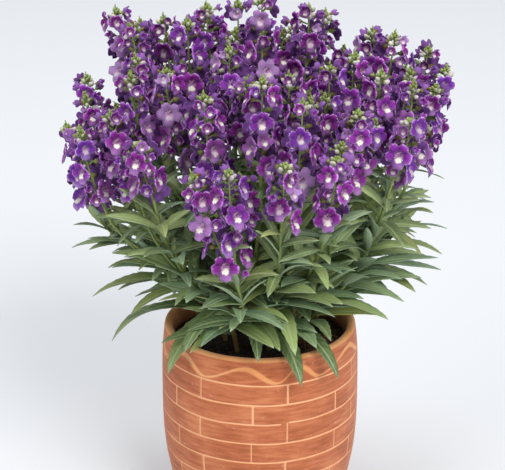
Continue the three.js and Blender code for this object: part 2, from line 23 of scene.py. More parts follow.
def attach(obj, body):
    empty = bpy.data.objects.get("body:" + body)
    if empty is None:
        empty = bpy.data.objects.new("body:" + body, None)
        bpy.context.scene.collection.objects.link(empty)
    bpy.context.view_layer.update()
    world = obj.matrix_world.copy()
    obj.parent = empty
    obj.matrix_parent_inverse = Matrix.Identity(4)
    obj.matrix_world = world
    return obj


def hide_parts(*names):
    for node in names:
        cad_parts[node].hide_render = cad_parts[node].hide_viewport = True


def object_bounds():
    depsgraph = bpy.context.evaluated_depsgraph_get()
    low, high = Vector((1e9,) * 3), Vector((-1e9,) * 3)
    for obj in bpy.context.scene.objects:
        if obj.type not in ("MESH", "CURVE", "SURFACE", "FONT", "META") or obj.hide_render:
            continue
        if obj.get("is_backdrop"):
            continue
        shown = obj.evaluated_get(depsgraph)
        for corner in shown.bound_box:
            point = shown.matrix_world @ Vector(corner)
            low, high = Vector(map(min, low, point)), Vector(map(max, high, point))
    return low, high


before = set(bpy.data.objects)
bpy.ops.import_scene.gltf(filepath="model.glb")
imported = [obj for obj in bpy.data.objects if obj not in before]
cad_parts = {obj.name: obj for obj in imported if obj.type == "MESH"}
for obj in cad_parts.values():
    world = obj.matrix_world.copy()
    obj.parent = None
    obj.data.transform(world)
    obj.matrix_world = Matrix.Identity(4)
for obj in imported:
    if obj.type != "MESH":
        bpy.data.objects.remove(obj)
CAD_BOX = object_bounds()

log = logging.getLogger("potted_angelonia")

MM = 0.001
UP = Vector((0, 0, 1))
GOLDEN_TURN = math.radians(137.5)

Pairs = tuple[tuple[float, float], ...]
Spoke = tuple[float, float, float, float]
NodeAdder = Callable[..., bpy.types.Node]


class GreenPart(IntEnum):
    """Material slots of a leafy stem."""

    STALK = 0
    BLADE = 1
    UNDERSIDE = 2


class FlowerPart(IntEnum):
    """Material slots of a flower spike."""

    STALK = 0
    PETAL = 1
    PETAL_BACK = 2
    BUD = 3


# Small helpers


def srgb(code: str) -> tuple[float, float, float, float]:
    """Turns an sRGB hex colour to linear.

    Args:
        code: six hex digits.

    Returns:
        Red, green, blue and alpha for a shader socket.
    """
    parts = [int(code[i:i + 2], 16) / 255 for i in (0, 2, 4)]
    linear = [part / 12.92 if part <= 0.04045 else ((part + 0.055) / 1.055) ** 2.4 for part in parts]
    return (*linear, 1.0)


def mix(low: float, high: float, share: float) -> float:
    """The value at a share of the way from low to high."""
    return low + (high - low) * share


def clamp(value: float, low: float = 0.0, high: float = 1.0) -> float:
    """The value, kept between low and high."""
    return max(low, min(high, value))


def heading(angle: float) -> Vector:
    """The level direction at an angle from the front, turning toward +X."""
    return Vector((math.sin(angle), -math.cos(angle), 0))


def seat_matrix(origin: Vector, x: Vector, y: Vector, z: Vector, size: float = 1.0) -> Matrix:
    """The matrix that sets a small model on its place, with its axes along three directions."""
    turn = Matrix((x, y, z)).transposed().to_4x4()
    return Matrix.Translation(origin) @ turn @ Matrix.Scale(size, 4)


def across(direction: Vector, toward: Vector) -> tuple[Vector, Vector]:
    """Two directions square to one another and to a third, the first leaning to another."""
    first = (toward - direction * toward.dot(direction)).normalized()
    return first, direction.cross(first)


def smooth_path(points: Sequence[Vector], steps: int) -> list[Vector]:
    """Runs a smooth curve through points.

    Args:
        points: the points that it passes.
        steps: pieces between two of them.

    Returns:
        The points of the curve.
    """
    padded = [points[0] * 2 - points[1], *points, points[-1] * 2 - points[-2]]
    path = []
    for i in range(1, len(padded) - 2):
        a, b, c, d = padded[i - 1:i + 3]
        for step in range(steps):
            t = step / steps
            path.append(0.5 * (2 * b + (c - a) * t + (2 * a - 5 * b + 4 * c - d) * t ** 2
                               + (3 * b - a - 3 * c + d) * t ** 3))
    return [*path, points[-1].copy()]


def bezier(start: Vector, leave: Vector, arrive: Vector, end: Vector, steps: int) -> list[Vector]:
    """Points of a cubic curve.

    Args:
        start: its first point.
        leave: the handle after it.
        arrive: the handle before the last point.
        end: its last point.
        steps: the number of pieces.

    Returns:
        The points, both ends included.
    """
    path = []
    for step in range(steps + 1):
        t = step / steps
        s = 1 - t
        path.append(start * s ** 3 + leave * 3 * s * s * t + arrive * 3 * s * t * t + end * t ** 3)
    return path


def on_path(path: Sequence[Vector], place: float) -> Vector:
    """The point of a path at a place counted in its pieces."""
    low = int(place)
    return path[low].lerp(path[min(low + 1, len(path) - 1)], place % 1)


def path_length(path: Sequence[Vector]) -> float:
    """The length of a path."""
    return sum((b - a).length for a, b in zip(path, path[1:]))


def nearest_on(path: Sequence[Vector], place: Vector) -> tuple[Vector, float]:
    """Finds the point of a path that is nearest to a place.

    Args:
        path: the path.
        place: the place.

    Returns:
        The point, and its share of the path's pieces.
    """
    best, share, least = path[0], 0.0, math.inf
    for i, (a, b) in enumerate(zip(path, path[1:])):
        run = b - a
        t = clamp((place - a).dot(run) / max(run.length_squared, 1e-9))
        point = a + run * t
        if (point - place).length < least:
            best, share, least = point, (i + t) / (len(path) - 1), (point - place).length
    return best, share


def neighbours(vertex: bmesh.types.BMVert) -> list[bmesh.types.BMVert]:
    """The vertices at the other ends of a vertex's edges."""
    return [edge.other_vert(vertex) for edge in vertex.link_edges]


def walk_along(first: bmesh.types.BMVert, members: set[bmesh.types.BMVert]) -> list[bmesh.types.BMVert]:
    """Walks from vertex to vertex until all the members are passed.

    Args:
        first: where the walk starts.
        members: the vertices of the line or ring.

    Returns:
        The vertices in the order of the walk.
    """
    walk = [first]
    while len(walk) < len(members):
        walk.append(next(v for v in neighbours(walk[-1]) if v in members and v not in walk))
    return walk


def middle(vertices: Iterable[bmesh.types.BMVert]) -> Vector:
    """The mean place of some vertices, to the last digit the same in whatever order they come."""
    places = sorted(tuple(vertex.co) for vertex in vertices)
    return sum(map(Vector, places), Vector()) / len(places)


# Reading the CAD nodes


def merged_copy(name: str) -> bmesh.types.BMesh:
    """Merges a copy of a CAD node's loose triangles.

    Args:
        name: the node's name.

    Returns:
        The copy, in millimetres.
    """
    copy = bmesh.new()
    copy.from_mesh(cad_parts[name].data)
    bmesh.ops.remove_doubles(copy, verts=copy.verts, dist=1e-6)
    bmesh.ops.scale(copy, vec=(1 / MM,) * 3, verts=copy.verts)
    return copy


@dataclass
class BloomSeat:
    """Where a bloom sits: its face's middle, its three directions, its size and its stalk's root."""

    face: Vector
    up: Vector
    side: Vector
    out: Vector
    size: float
    root: Vector


@dataclass
class BudSeat:
    """Where a bud sits: the root of its stalk and its tip."""

    root: Vector
    tip: Vector


@dataclass
class LeafSeat:
    """The midrib of a leaf through four places, with its side direction and half width."""

    places: list[Vector]
    side: Vector
    half_width: float
    item: tuple | None = None
    fold: float = math.radians(14)
    shares: tuple[float, ...] = (0.0, 0.36, 0.7, 1.0)

    @classmethod
    def arched(cls, root: Vector, angle: float, rise: float, drop: float, length: float,
               half_width: float, roll: float) -> "LeafSeat":
        """Lays a leaf along an arc.

        Args:
            root: where it grows.
            angle: its level direction from the front, toward +X.
            rise: its slope at the root.
            drop: its slope at the tip.
            length: its length.
            half_width: half its widest width.
            roll: its turn about its own length.

        Returns:
            The leaf's seat.
        """
        ahead = heading(angle)
        bend = drop - rise
        places = []
        for share in cls.shares:
            slope = rise + bend * share
            run = length / bend * (math.sin(slope) - math.sin(rise))
            lift = length / bend * (math.cos(rise) - math.cos(slope))
            places.append(root + ahead * run + UP * lift)
        slope = rise + bend / 2
        along = ahead * math.cos(slope) + UP * math.sin(slope)
        return cls(places, Matrix.Rotation(roll, 3, along) @ UP.cross(ahead), half_width)

    def rib(self, share: float) -> tuple[Vector, Vector]:
        """Finds a point of the midrib and its direction there.

        Args:
            share: the place along the leaf, from 0 to 1.

        Returns:
            The point and the direction.
        """
        point, along = Vector(), Vector()
        for i, (own, place) in enumerate(zip(self.shares, self.places)):
            others = [other for j, other in enumerate(self.shares) if j != i]
            base = math.prod(own - other for other in others)
            point += place * (math.prod(share - other for other in others) / base)
            slope = sum(math.prod(share - other for other in others if other != left) for left in others)
            along += place * (slope / base)
        return point, along.normalized()

    def put(self, x: float, y: float, z: float) -> Vector:
        """Bends a point of a flat blade into place.

        Args:
            x: its place across, from -1 to 1 in half widths.
            y: its place along, from 0 to 1.
            z: its height over the blade.

        Returns:
            The point on the plant.
        """
        point, along = self.rib(y)
        side = (self.side - along * self.side.dot(along)).normalized()
        over = along.cross(side)
        out = x * self.half_width
        return point + side * out * math.cos(self.fold) + over * (abs(out) * math.sin(self.fold) + z)

    def length(self) -> float:
        """The blade's length along its four places."""
        return path_length(self.places)


@dataclass(frozen=True)
class BloomPlan:
    """A bloom's rim as the CAD has it, in millimetres at size 1.

    The rim is five lobes and the notches between them, from the top: angle, radius, lift.
    """

    rim: tuple[tuple[float, float, float], ...] = (
        (0, 6, 0.2), (33, 8.6, 1), (66, 6.8, 0.2), (100, 9.4, 0.8), (140, 7.2, 0), (180, 10, -1),
        (220, 7.2, 0), (260, 9.4, 0.8), (294, 6.8, 0.2), (327, 8.6, 1))
    recess: float = 3

    def seat(self, throat: bmesh.types.BMVert) -> BloomSeat:
        """Fits the plan on a bloom of the CAD.

        Args:
            throat: the vertex at the bottom of its throat.

        Returns:
            The bloom's seat.
        """
        around = set(neighbours(throat))
        first = min(around, key=lambda vertex: (vertex.co - throat.co).length)
        walk = walk_along(first, around)
        plan = [(radius * math.cos(math.radians(angle)), radius * math.sin(math.radians(angle)),
                 lift + self.recess) for angle, radius, lift in self.rim]
        offsets = [list(vertex.co - throat.co) for vertex in walk]
        up, _, out = numpy.linalg.lstsq(numpy.array(plan), numpy.array(offsets), rcond=None)[0]
        size = float(numpy.linalg.norm(up))
        out = Vector(out).normalized()
        up, side = across(out, Vector(up))
        root = {v for rim in walk for v in neighbours(rim) if v not in around and v != throat}
        return BloomSeat(throat.co + out * self.recess * size, up, side, out, size, middle(root))


class PlantReader:
    """Finds the blooms, buds, leaves and stalks in copies of the CAD nodes."""

    rim_points = 10
    rib_edges = 8
    blade_thickness = 0.8

    def __init__(self, name: str) -> None:
        """Reads the node of this name."""
        self.copy = merged_copy(name)
        self.used: set[bmesh.types.BMVert] = set()

    def blooms(self) -> list[BloomSeat]:
        """Finds the node's blooms.

        Returns:
            Their seats.
        """
        seats = []
        for vertex in self.copy.verts:
            around = set(neighbours(vertex))
            if len(around) != self.rim_points:
                continue
            if any(sum(other in around for other in neighbours(rim)) != 2 for rim in around):
                continue
            seats.append(BloomPlan().seat(vertex))
            roots = {v for rim in around for v in neighbours(rim)}
            self.used |= around | roots | {vertex}
        return seats

    def buds(self) -> list[BudSeat]:
        """Finds the node's buds.

        Returns:
            Their seats.
        """
        seats = []
        for tip in [vertex for vertex in self.copy.verts if len(vertex.link_edges) == 3]:
            waist = set(neighbours(tip))
            roots = {v for w in waist for v in neighbours(w)} - waist - {tip}
            if len(roots) == 3:
                seats.append(BudSeat(middle(roots), tip.co.copy()))
                self.used |= waist | roots | {tip}
        return seats

    def stalk(self) -> list[Vector]:
        """Middles of the spike's rings, from its foot up, once its blooms and buds are known."""
        left = sorted((v for v in self.copy.verts if v not in self.used), key=lambda v: v.co.z)
        return [middle(left[i:i + 3]) for i in range(0, len(left) - 2, 3)]

    def leaves(self) -> list[LeafSeat]:
        """Finds the node's leaves.

        Returns:
            Their seats.
        """
        seats = []
        ribs = [v for v in self.copy.verts if len(v.link_edges) == self.rib_edges]
        for i, one in enumerate(ribs):
            for other in ribs[i + 1:]:
                if (one.co - other.co).length > self.blade_thickness + 0.05:
                    continue
                outline = set(neighbours(one)) & set(neighbours(other))
                if len(outline) == 7 and other not in neighbours(one):
                    seats.append(self.leaf(one, other, outline))
        return seats

    def leaf(self, one: bmesh.types.BMVert, other: bmesh.types.BMVert,
             outline: set[bmesh.types.BMVert]) -> LeafSeat:
        """Reads one leaf.

        Args:
            one: the outer rib vertex on one side of the blade.
            other: the one on its other side.
            outline: the seven edge vertices that both touch.

        Returns:
            The leaf's seat.
        """
        inner = {v: next(n for n in neighbours(v) if n not in outline) for v in (one, other)}
        top = min(inner, key=lambda v: len(inner[v].link_edges))
        under = other if top is one else one
        ends = [v for v in outline if sum(n in outline for n in neighbours(v)) == 1]
        walk = walk_along(ends[0], outline)
        tip = walk[3]
        roots = (set(neighbours(inner[top])) | set(neighbours(inner[under]))) - {
            one, other, *inner.values(), *outline}
        low = next(v for v in roots if v not in neighbours(inner[top]))
        roots = {v for v in neighbours(low) if v in roots and v in neighbours(inner[top])} | {low}
        places = [middle(roots), middle(inner.values()), middle((one, other)), tip.co.copy()]
        span = walk[0].co - walk[-1].co
        over = inner[top].co - inner[under].co
        if over.cross(places[2] - places[1]).dot(span) < 0:
            span.negate()
        half_width = span.length / 2 / math.cos(LeafSeat.fold)
        return LeafSeat(places, span.normalized(), half_width)


# Growing meshes


def spin_profile(mesh: bmesh.types.BMesh, outline: Sequence[tuple[float, float]], turns: int) -> None:
    """Turns an outline into a closed body round the upright axis.

    Args:
        mesh: the mesh that it joins.
        outline: radius and height of each point, from axis to axis.
        turns: the number of steps round the axis.
    """
    verts = [mesh.verts.new((0, -radius, z)) for radius, z in outline]
    edges = [mesh.edges.new(pair) for pair in zip(verts, verts[1:])]
    bmesh.ops.spin(mesh, geom=[*verts, *edges], cent=(0, 0, 0), axis=(0, 0, 1), angle=math.tau,
                   steps=turns, use_merge=True)
    bmesh.ops.remove_doubles(mesh, verts=mesh.verts, dist=1e-4)
    bmesh.ops.recalc_face_normals(mesh, faces=mesh.faces)


class Growth:
    """A mesh that a piece's organs are added to, with the attributes that its materials read."""

    def __init__(self) -> None:
        """Starts an empty mesh with its UV map and attributes."""
        self.mesh = bmesh.new()
        self.uv = self.mesh.loops.layers.uv.new("UVMap")
        self.tone = self.mesh.verts.layers.float.new("tone")
        self.age = self.mesh.verts.layers.float.new("age")
        self.edge = self.mesh.verts.layers.float.new("edge")
        self.lobe = self.mesh.verts.layers.float.new("lobe")

    def as_model(self, name: str) -> bpy.types.Mesh:
        """Keeps this growth as a small model to be repeated.

        Args:
            name: the model's name.

        Returns:
            The mesh data.
        """
        data = bpy.data.meshes.new(name)
        self.mesh.to_mesh(data)
        self.mesh.free()
        return data

    def add(self, model: bpy.types.Mesh, place: Matrix | Callable[[Vector], Vector],
            tone: float = 0.5, age: float = 0.0) -> None:
        """Adds a copy of a small model.

        Args:
            model: its mesh.
            place: a matrix, or a function that puts each point.
            tone: its share of light and dark.
            age: its share of fading.
        """
        start = len(self.mesh.verts)
        self.mesh.from_mesh(model)
        self.mesh.verts.ensure_lookup_table()
        new = self.mesh.verts[start:]
        for vertex in new:
            vertex[self.tone] = tone
            vertex[self.age] = age
            if callable(place):
                vertex.co = place(vertex.co)
        if not callable(place):
            bmesh.ops.transform(self.mesh, matrix=place, verts=new)

    def tube(self, path: Sequence[Vector], radii: Sequence[float], sides: int,
             tones: Sequence[float] = (0.5, 0.5), ages: Sequence[float] = (0.0, 0.0),
             material: int = 0) -> None:
        """Adds a closed round stalk along a path.

        Args:
            path: its middle line.
            radii: its radius at each point.
            sides: its number of sides.
            tones: light and dark at its start and its end.
            ages: its age at its start and its end.
            material: its material slot.
        """
        stalk = Growth()
        last = len(path) - 1
        toward = Vector((1, 0.2, 0.1))
        matrices = []
        for i, point in enumerate(path):
            along = (path[min(i + 1, last)] - path[max(i - 1, 0)]).normalized()
            toward, second = across(along, toward)
            matrices.append(seat_matrix(point, toward, second, along, radii[i]))
        made = bmesh.ops.create_circle(stalk.mesh, cap_ends=True, radius=1, segments=sides,
                                       matrix=matrices[0])
        ring = list(dict.fromkeys(edge for vertex in made["verts"] for edge in vertex.link_edges))
        for i, matrix in enumerate(matrices):
            if i > 0:
                made = bmesh.ops.extrude_edge_only(stalk.mesh, edges=ring)["geom"]
                ring = [item for item in made if isinstance(item, bmesh.types.BMEdge)]
                verts = [item for item in made if isinstance(item, bmesh.types.BMVert)]
                bmesh.ops.transform(stalk.mesh, matrix=matrix @ matrices[i - 1].inverted(), verts=verts)
            share = i / last
            for vertex in {vertex for edge in ring for vertex in edge.verts}:
                vertex[stalk.tone] = mix(*tones, share)
                vertex[stalk.age] = mix(*ages, share)
        bmesh.ops.edgeloop_fill(stalk.mesh, edges=ring)
        bmesh.ops.recalc_face_normals(stalk.mesh, faces=stalk.mesh.faces)
        for face in stalk.mesh.faces:
            face.material_index = material
        data = stalk.as_model("stalk")
        self.mesh.from_mesh(data)
        bpy.data.meshes.remove(data)


def make_piece(name: str, mesh: bmesh.types.BMesh, materials: Sequence[bpy.types.Material],
               node: str) -> bpy.types.Object:
    """Makes a finished piece that stands for a CAD node.

    Args:
        name: the piece's name.
        mesh: its mesh in millimetres, which is used up.
        materials: its materials in the order of its slots.
        node: the CAD node that it replaces.

    Returns:
        The piece.
    """
    bmesh.ops.scale(mesh, vec=(MM,) * 3, verts=mesh.verts)
    data = bpy.data.meshes.new(name)
    mesh.to_mesh(data)
    mesh.free()
    data.shade_smooth()
    piece = bpy.data.objects.new(name, data)
    bpy.context.scene.collection.objects.link(piece)
    for material in materials:
        data.materials.append(material)
    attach(piece, "root")
    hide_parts(node)
    log.info("%s: %d faces", name, len(data.polygons))
    return piece


# Small models that are repeated on the plant


@dataclass(frozen=True)
class BloomModel:
    """One bloom with its calyx, in millimetres at size 1, looking along +z with its top at +x.

    Each of the five lobes has only a few dozen faces, because there are hundreds of blooms.
    """

    notches: tuple[float, ...] = (6.0, 6.7, 7.1, 7.1, 6.7)
    tips: tuple[float, ...] = (9.1, 9.8, 10.3, 9.8, 9.1)
    notch_angles: tuple[float, ...] = (0, 66, 140, 220, 294)
    tip_lifts: tuple[float, ...] = (1.0, 0.8, -1.0, 0.8, 1.0)
    columns: tuple[float, ...] = (-1, -0.5, 0, 0.5)
    notch_slack: float = 5.0
    roundness: float = 2.6
    throat_depth: float = 3.8
    mouth_radius: float = 3.4
    mouth_depth: float = 0.5
    lip_height: float = 2.1
    lip_angle: float = 50
    thickness: float = 0.35
    domed: bool = True
    cupped: float = 0.0
    map_span: float = 22.0
    slack_tips: tuple[float, float] = (0.92, 1.0)
    curls: tuple[float, float] = (-2.2, 1.6)
    ruffle: float = 0.8
    notch_drop: float = 0.9
    lip_swell: float = 0.3
    dome_place: float = 0.58
    dome_rises: tuple[float, float, float] = (0.2, 1.3, 0.3)
    narrowing: float = 0.55
    cup_depth: float = 4.5

    def spokes(self, draw: random.Random) -> list[Spoke]:
        """Works out the outline, column by column.

        Args:
            draw: the source of small differences.

        Returns:
            For each column its angle, radius and lift, and how near it is to the middle of its lobe.
        """
        cuts = [angle + draw.uniform(-1, 1) * self.notch_slack for angle in self.notch_angles]
        cuts.append(cuts[0] + 360)
        spokes = []
        for lobe in range(5):
            low, high = self.notches[lobe], self.notches[(lobe + 1) % 5]
            reach = self.tips[lobe] * draw.uniform(*self.slack_tips)
            curl = draw.uniform(*self.curls)
            for t in self.columns:
                share = (t + 1) / 2
                body = (1 - abs(t) ** self.roundness) ** 0.5
                notch = mix(low, high, share)
                wave = draw.uniform(-self.ruffle, self.ruffle) * body
                spokes.append((math.radians(mix(cuts[lobe], cuts[lobe + 1], share)),
                               notch + (reach - notch) * body,
                               (self.tip_lifts[lobe] + curl) * body + wave - self.notch_drop * (1 - body),
                               body))
        return spokes

    def build(self, name: str, seed: int, calyx: bpy.types.Mesh) -> bpy.types.Mesh:
        """Builds one variant.

        Args:
            name: its name.
            seed: what its small differences come from.
            calyx: the green cup behind it.

        Returns:
            The model.
        """
        growth = Growth()
        mesh = growth.mesh
        spokes = self.spokes(random.Random(seed))
        count = len(spokes)
        made = bmesh.ops.create_circle(
            mesh, cap_ends=True, cap_tris=True, radius=1, segments=count)["verts"]
        centre = min(made, key=lambda vertex: vertex.co.length)
        centre.co.z = -self.throat_depth
        turn = {v: round(math.atan2(v.co.y, v.co.x) / math.tau * count * 4) for v in made if v != centre}
        order = sorted(turn, key=lambda vertex: (turn[vertex] % (count * 4)))
        column = {vertex: i for i, vertex in enumerate(order)}
        ring = [edge for edge in mesh.edges if centre not in edge.verts]
        rings = [self.mouth, self.half_way, self.rim] if self.domed else [self.mouth, self.rim]
        for step, shape in enumerate(rings):
            if step:
                made = bmesh.ops.extrude_edge_only(mesh, edges=ring)["geom"]
                ring = [item for item in made if isinstance(item, bmesh.types.BMEdge)]
                new = {vertex for edge in ring for vertex in edge.verts}
                column = {v: next(column[n] for n in neighbours(v) if n in column) for v in new}
            for vertex, i in column.items():
                radius, height = shape(spokes[i])
                vertex.co = (radius * math.cos(spokes[i][0]), radius * math.sin(spokes[i][0]), height)
                vertex[growth.edge] = step / (len(rings) - 1)
                vertex[growth.lobe] = spokes[i][3]
        for face in mesh.faces:
            for loop in face.loops:
                loop[growth.uv].uv = (0.5 + loop.vert.co.y / self.map_span,
                                      0.5 + loop.vert.co.x / self.map_span)
        self.close_up(mesh)
        front = set(mesh.faces)
        bmesh.ops.recalc_face_normals(mesh, faces=mesh.faces)
        if sum(face.normal.z for face in front) < 0:
            bmesh.ops.reverse_faces(mesh, faces=mesh.faces)
        bmesh.ops.solidify(mesh, geom=mesh.faces[:], thickness=self.thickness)
        for face in mesh.faces:
            face.material_index = FlowerPart.PETAL if face in front else FlowerPart.PETAL_BACK
        growth.add(calyx, Matrix.Identity(4))
        return growth.as_model(name)

    def mouth(self, spoke: Spoke) -> tuple[float, float]:
        """Shapes the mouth, with its swollen lower lip.

        Args:
            spoke: a spoke of the outline.

        Returns:
            Radius and height of the mouth there.
        """
        off = math.degrees(abs(spoke[0] - math.pi))
        lip = clamp(1 - off / self.lip_angle) ** 0.6 if off < self.lip_angle else 0
        return self.mouth_radius - self.lip_swell * lip, -self.mouth_depth + self.lip_height * lip

    def half_way(self, spoke: Spoke) -> tuple[float, float]:
        """Radius and height half way out on a spoke, where the lobes are domed."""
        low, dome, follow = self.dome_rises
        return mix(self.mouth_radius, spoke[1], self.dome_place), low + dome * spoke[3] + follow * spoke[2]

    def rim(self, spoke: Spoke) -> tuple[float, float]:
        """Radius and height of the rim at a spoke."""
        return spoke[1], spoke[2]

    def close_up(self, mesh: bmesh.types.BMesh) -> None:
        """Folds the lobes forward into a cup, as on a bloom that is only half open.

        Args:
            mesh: the bloom's face.
        """
        for vertex in mesh.verts:
            out = vertex.co.xy.length
            fold = self.cupped * clamp((out - self.mouth_radius) / 5)
            vertex.co.xy = vertex.co.xy * (1 - self.narrowing * fold)
            vertex.co.z += self.cup_depth * fold


def add_sepals(growth: Growth, points: int, heights: tuple[float, float], radii: tuple[float, float],
               rises: tuple[float, float, float], spread: float = 1.0) -> None:
    """Adds a green cup whose rim stands up in pointed sepals.

    Args:
        growth: the mesh that it joins.
        points: the points of its rim, of which each second one is a sepal's tip.
        heights: heights of its foot and its rim.
        radii: radii of its foot and its rim.
        rises: how far the sepals' tips, the notches between them and the middle are raised.
        spread: how far the tips bend out, as a factor on their radius.
    """
    (low, high), (foot, rim) = heights, radii
    made = bmesh.ops.create_cone(growth.mesh, cap_ends=True, cap_tris=True, segments=points, radius1=foot,
                                 radius2=rim, depth=high - low,
                                 matrix=Matrix.Translation((0, 0, (low + high) / 2)))["verts"]
    for vertex in [vertex for vertex in made if vertex.co.z > (low + high) / 2]:
        notch = round(math.atan2(vertex.co.y, vertex.co.x) / math.tau * points) % 2
        kind = 2 if vertex.co.xy.length < rim / 2 else notch
        vertex.co.z += rises[kind]
        if kind == 0:
            vertex.co.xy = vertex.co.xy * spread


def calyx_model() -> bpy.types.Mesh:
    """Builds the green cup with five pointed sepals behind a bloom.

    Returns:
        The model.
    """
    growth = Growth()
    add_sepals(growth, 10, (-6.2, -3.9), (0.7, 2.3), (2.0, 0.3, -1.0), spread=1.4)
    bmesh.ops.recalc_face_normals(growth.mesh, faces=growth.mesh.faces)
    return growth.as_model("calyx")


def bud_model() -> bpy.types.Mesh:
    """Builds a closed bud of length 1 and width 1 along +z, in its green calyx.

    Returns:
        The model.
    """
    growth = Growth()
    mesh = growth.mesh
    bmesh.ops.create_uvsphere(mesh, u_segments=6, v_segments=4, radius=0.5,
                              matrix=Matrix.Translation((0, 0, 0.5)))
    for vertex in mesh.verts:
        pinch = 1 - 0.35 * clamp(vertex.co.z) ** 2
        vertex.co.xy = vertex.co.xy * pinch
        vertex[growth.edge] = clamp(vertex.co.z)
    for face in mesh.faces:
        face.material_index = FlowerPart.BUD
    add_sepals(growth, 6, (-0.065, 0.385), (0.12, 0.5), (0.16, -0.1, -0.1))
    bmesh.ops.recalc_face_normals(mesh, faces=mesh.faces)
    return growth.as_model("bud")


def bract_model() -> bpy.types.Mesh:
    """Builds a small pointed bract, 1 long and 1 wide, along +x with its face up.

    Returns:
        The model.
    """
    growth = Growth()
    bmesh.ops.create_uvsphere(growth.mesh, u_segments=4, v_segments=4, radius=0.5,
                              matrix=Matrix.Translation((0.5, 0, 0))
                              @ Matrix.Rotation(math.pi / 2, 4, "Y"))
    bmesh.ops.scale(growth.mesh, vec=(1, 1, 0.16), verts=growth.mesh.verts)
    for vertex in growth.mesh.verts:
        vertex.co.z += 0.22 * vertex.co.x ** 2 + 0.3 * abs(vertex.co.y)
    return growth.as_model("bract")


@dataclass(frozen=True)
class BladeModel:
    """A flat leaf blade: x across from -1 to 1, y along from 0 to 1, z its thickness in millimetres.

    The edge has forward teeth, one for each two rows beyond the smooth foot of the blade.
    """

    columns: int = 4
    teeth: int = 7
    foot: tuple[float, ...] = (-0.05, 0.04, 0.12, 0.2)
    tooth_out: float = 1.03
    tooth_in: float = 0.93
    tooth_lean: float = 0.3
    stalk_width: float = 0.13
    thickness: float = 0.4

    def half_width(self, share: float) -> float:
        """Half the width of the blade at a share of its length, without teeth."""
        return max(self.stalk_width, math.sin(math.pi * clamp(share) ** 0.85) ** 0.75)

    def rows(self) -> list[tuple[float, float]]:
        """Works out the rows of the grid.

        Returns:
            For each row its place along the blade and its half width.
        """
        rows = [(share, self.half_width(share)) for share in self.foot]
        pitch = (1 - self.foot[-1]) / (self.teeth + 1)
        for tooth in range(self.teeth):
            low = self.foot[-1] + pitch * (tooth + 0.55)
            high = low + pitch * (1 - self.tooth_lean) * 0.65
            rows.append((low, self.half_width(low) * self.tooth_in))
            rows.append((high, self.half_width(high) * self.tooth_out))
        return [*rows, (1.0, 0.0)]

    def build(self, name: str) -> bpy.types.Mesh:
        """Builds the blade.

        Args:
            name: the model's name.

        Returns:
            The model.
        """
        growth = Growth()
        mesh = growth.mesh
        rows = self.rows()
        bmesh.ops.create_grid(mesh, x_segments=self.columns, y_segments=len(rows) - 1, size=1)
        for vertex in mesh.verts:
            share, half = rows[round((vertex.co.y + 1) / 2 * (len(rows) - 1))]
            vertex[growth.edge] = abs(vertex.co.x)
            vertex.co = (vertex.co.x * half, share, 0)
        bmesh.ops.remove_doubles(mesh, verts=mesh.verts, dist=1e-5)
        for face in mesh.faces:
            for loop in face.loops:
                half = max(self.half_width(loop.vert.co.y), 0.05)
                loop[growth.uv].uv = (0.5 + loop.vert.co.x / half / 2, loop.vert.co.y)
        top = set(mesh.faces)
        bmesh.ops.solidify(mesh, geom=mesh.faces[:], thickness=self.thickness)
        for face in mesh.faces:
            face.material_index = GreenPart.BLADE if face in top else GreenPart.UNDERSIDE
        return growth.as_model(name)


class Crowd:
    """What stands in the plant so far, so that nothing added cuts through it."""

    def __init__(self) -> None:
        """Starts with the pot and the soil."""
        self.low, self.high = (Vector(corner) / MM for corner in CAD_BOX)
        self.items: list[tuple[BVHTree, Vector, float, str]] = []
        for name in ("pot", "soil"):
            self.add(merged_copy(name), name)

    def measure(self, mesh: bmesh.types.BMesh) -> tuple[BVHTree, Vector, float]:
        """Finds a shape's search tree and the ball round it.

        Args:
            mesh: the shape, which is used up.

        Returns:
            The tree, and the ball's middle and radius.
        """
        tree = BVHTree.FromBMesh(mesh)
        centre = middle(mesh.verts)
        radius = max((vertex.co - centre).length for vertex in mesh.verts)
        mesh.free()
        return tree, centre, radius

    def add(self, mesh: bmesh.types.BMesh, owner: str = "") -> None:
        """Takes in a shape, which is used up, with the stem or spike whose stalk it is."""
        self.items.append((*self.measure(mesh), owner))

    def holds(self, place: Vector, reach: float) -> bool:
        """Whether a ball round a place lies inside the CAD's box."""
        return all(low + reach < x < high - reach for x, low, high in zip(place, self.low, self.high))

    def is_clear(self, mesh: bmesh.types.BMesh, skip: str = "-") -> bool:
        """Tests a shape against everything placed so far.

        Args:
            mesh: the shape, which is used up.
            skip: the owner whose stalks it may touch.

        Returns:
            Whether it crosses nothing.
        """
        tree, centre, radius = self.measure(mesh)
        return not any(
            owner != skip and (centre - other_centre).length < radius + reach and tree.overlap(other)
            for other, other_centre, reach, owner in self.items)


# the plain cone of a bloom of size 1, in millimetres, and where a plain blade starts
CONE_RADIUS, CONE_DEPTH, CONE_MIDDLE = 8.4, 5, -2.2
BLADE_START = 0.09


def bloom_shape(seat: BloomSeat, share: float = 1.0) -> bmesh.types.BMesh:
    """Makes a plain cone in a bloom's place.

    Args:
        seat: where the bloom sits.
        share: its width against the bloom's.

    Returns:
        The cone.
    """
    mesh = bmesh.new()
    bmesh.ops.create_cone(mesh, cap_ends=True, segments=8, radius1=1, radius2=CONE_RADIUS * share,
                          depth=CONE_DEPTH, matrix=Matrix.Translation((0, 0, CONE_MIDDLE)))
    bmesh.ops.transform(mesh, verts=mesh.verts,
                        matrix=seat_matrix(seat.face, seat.up, seat.side, seat.out, seat.size))
    return mesh


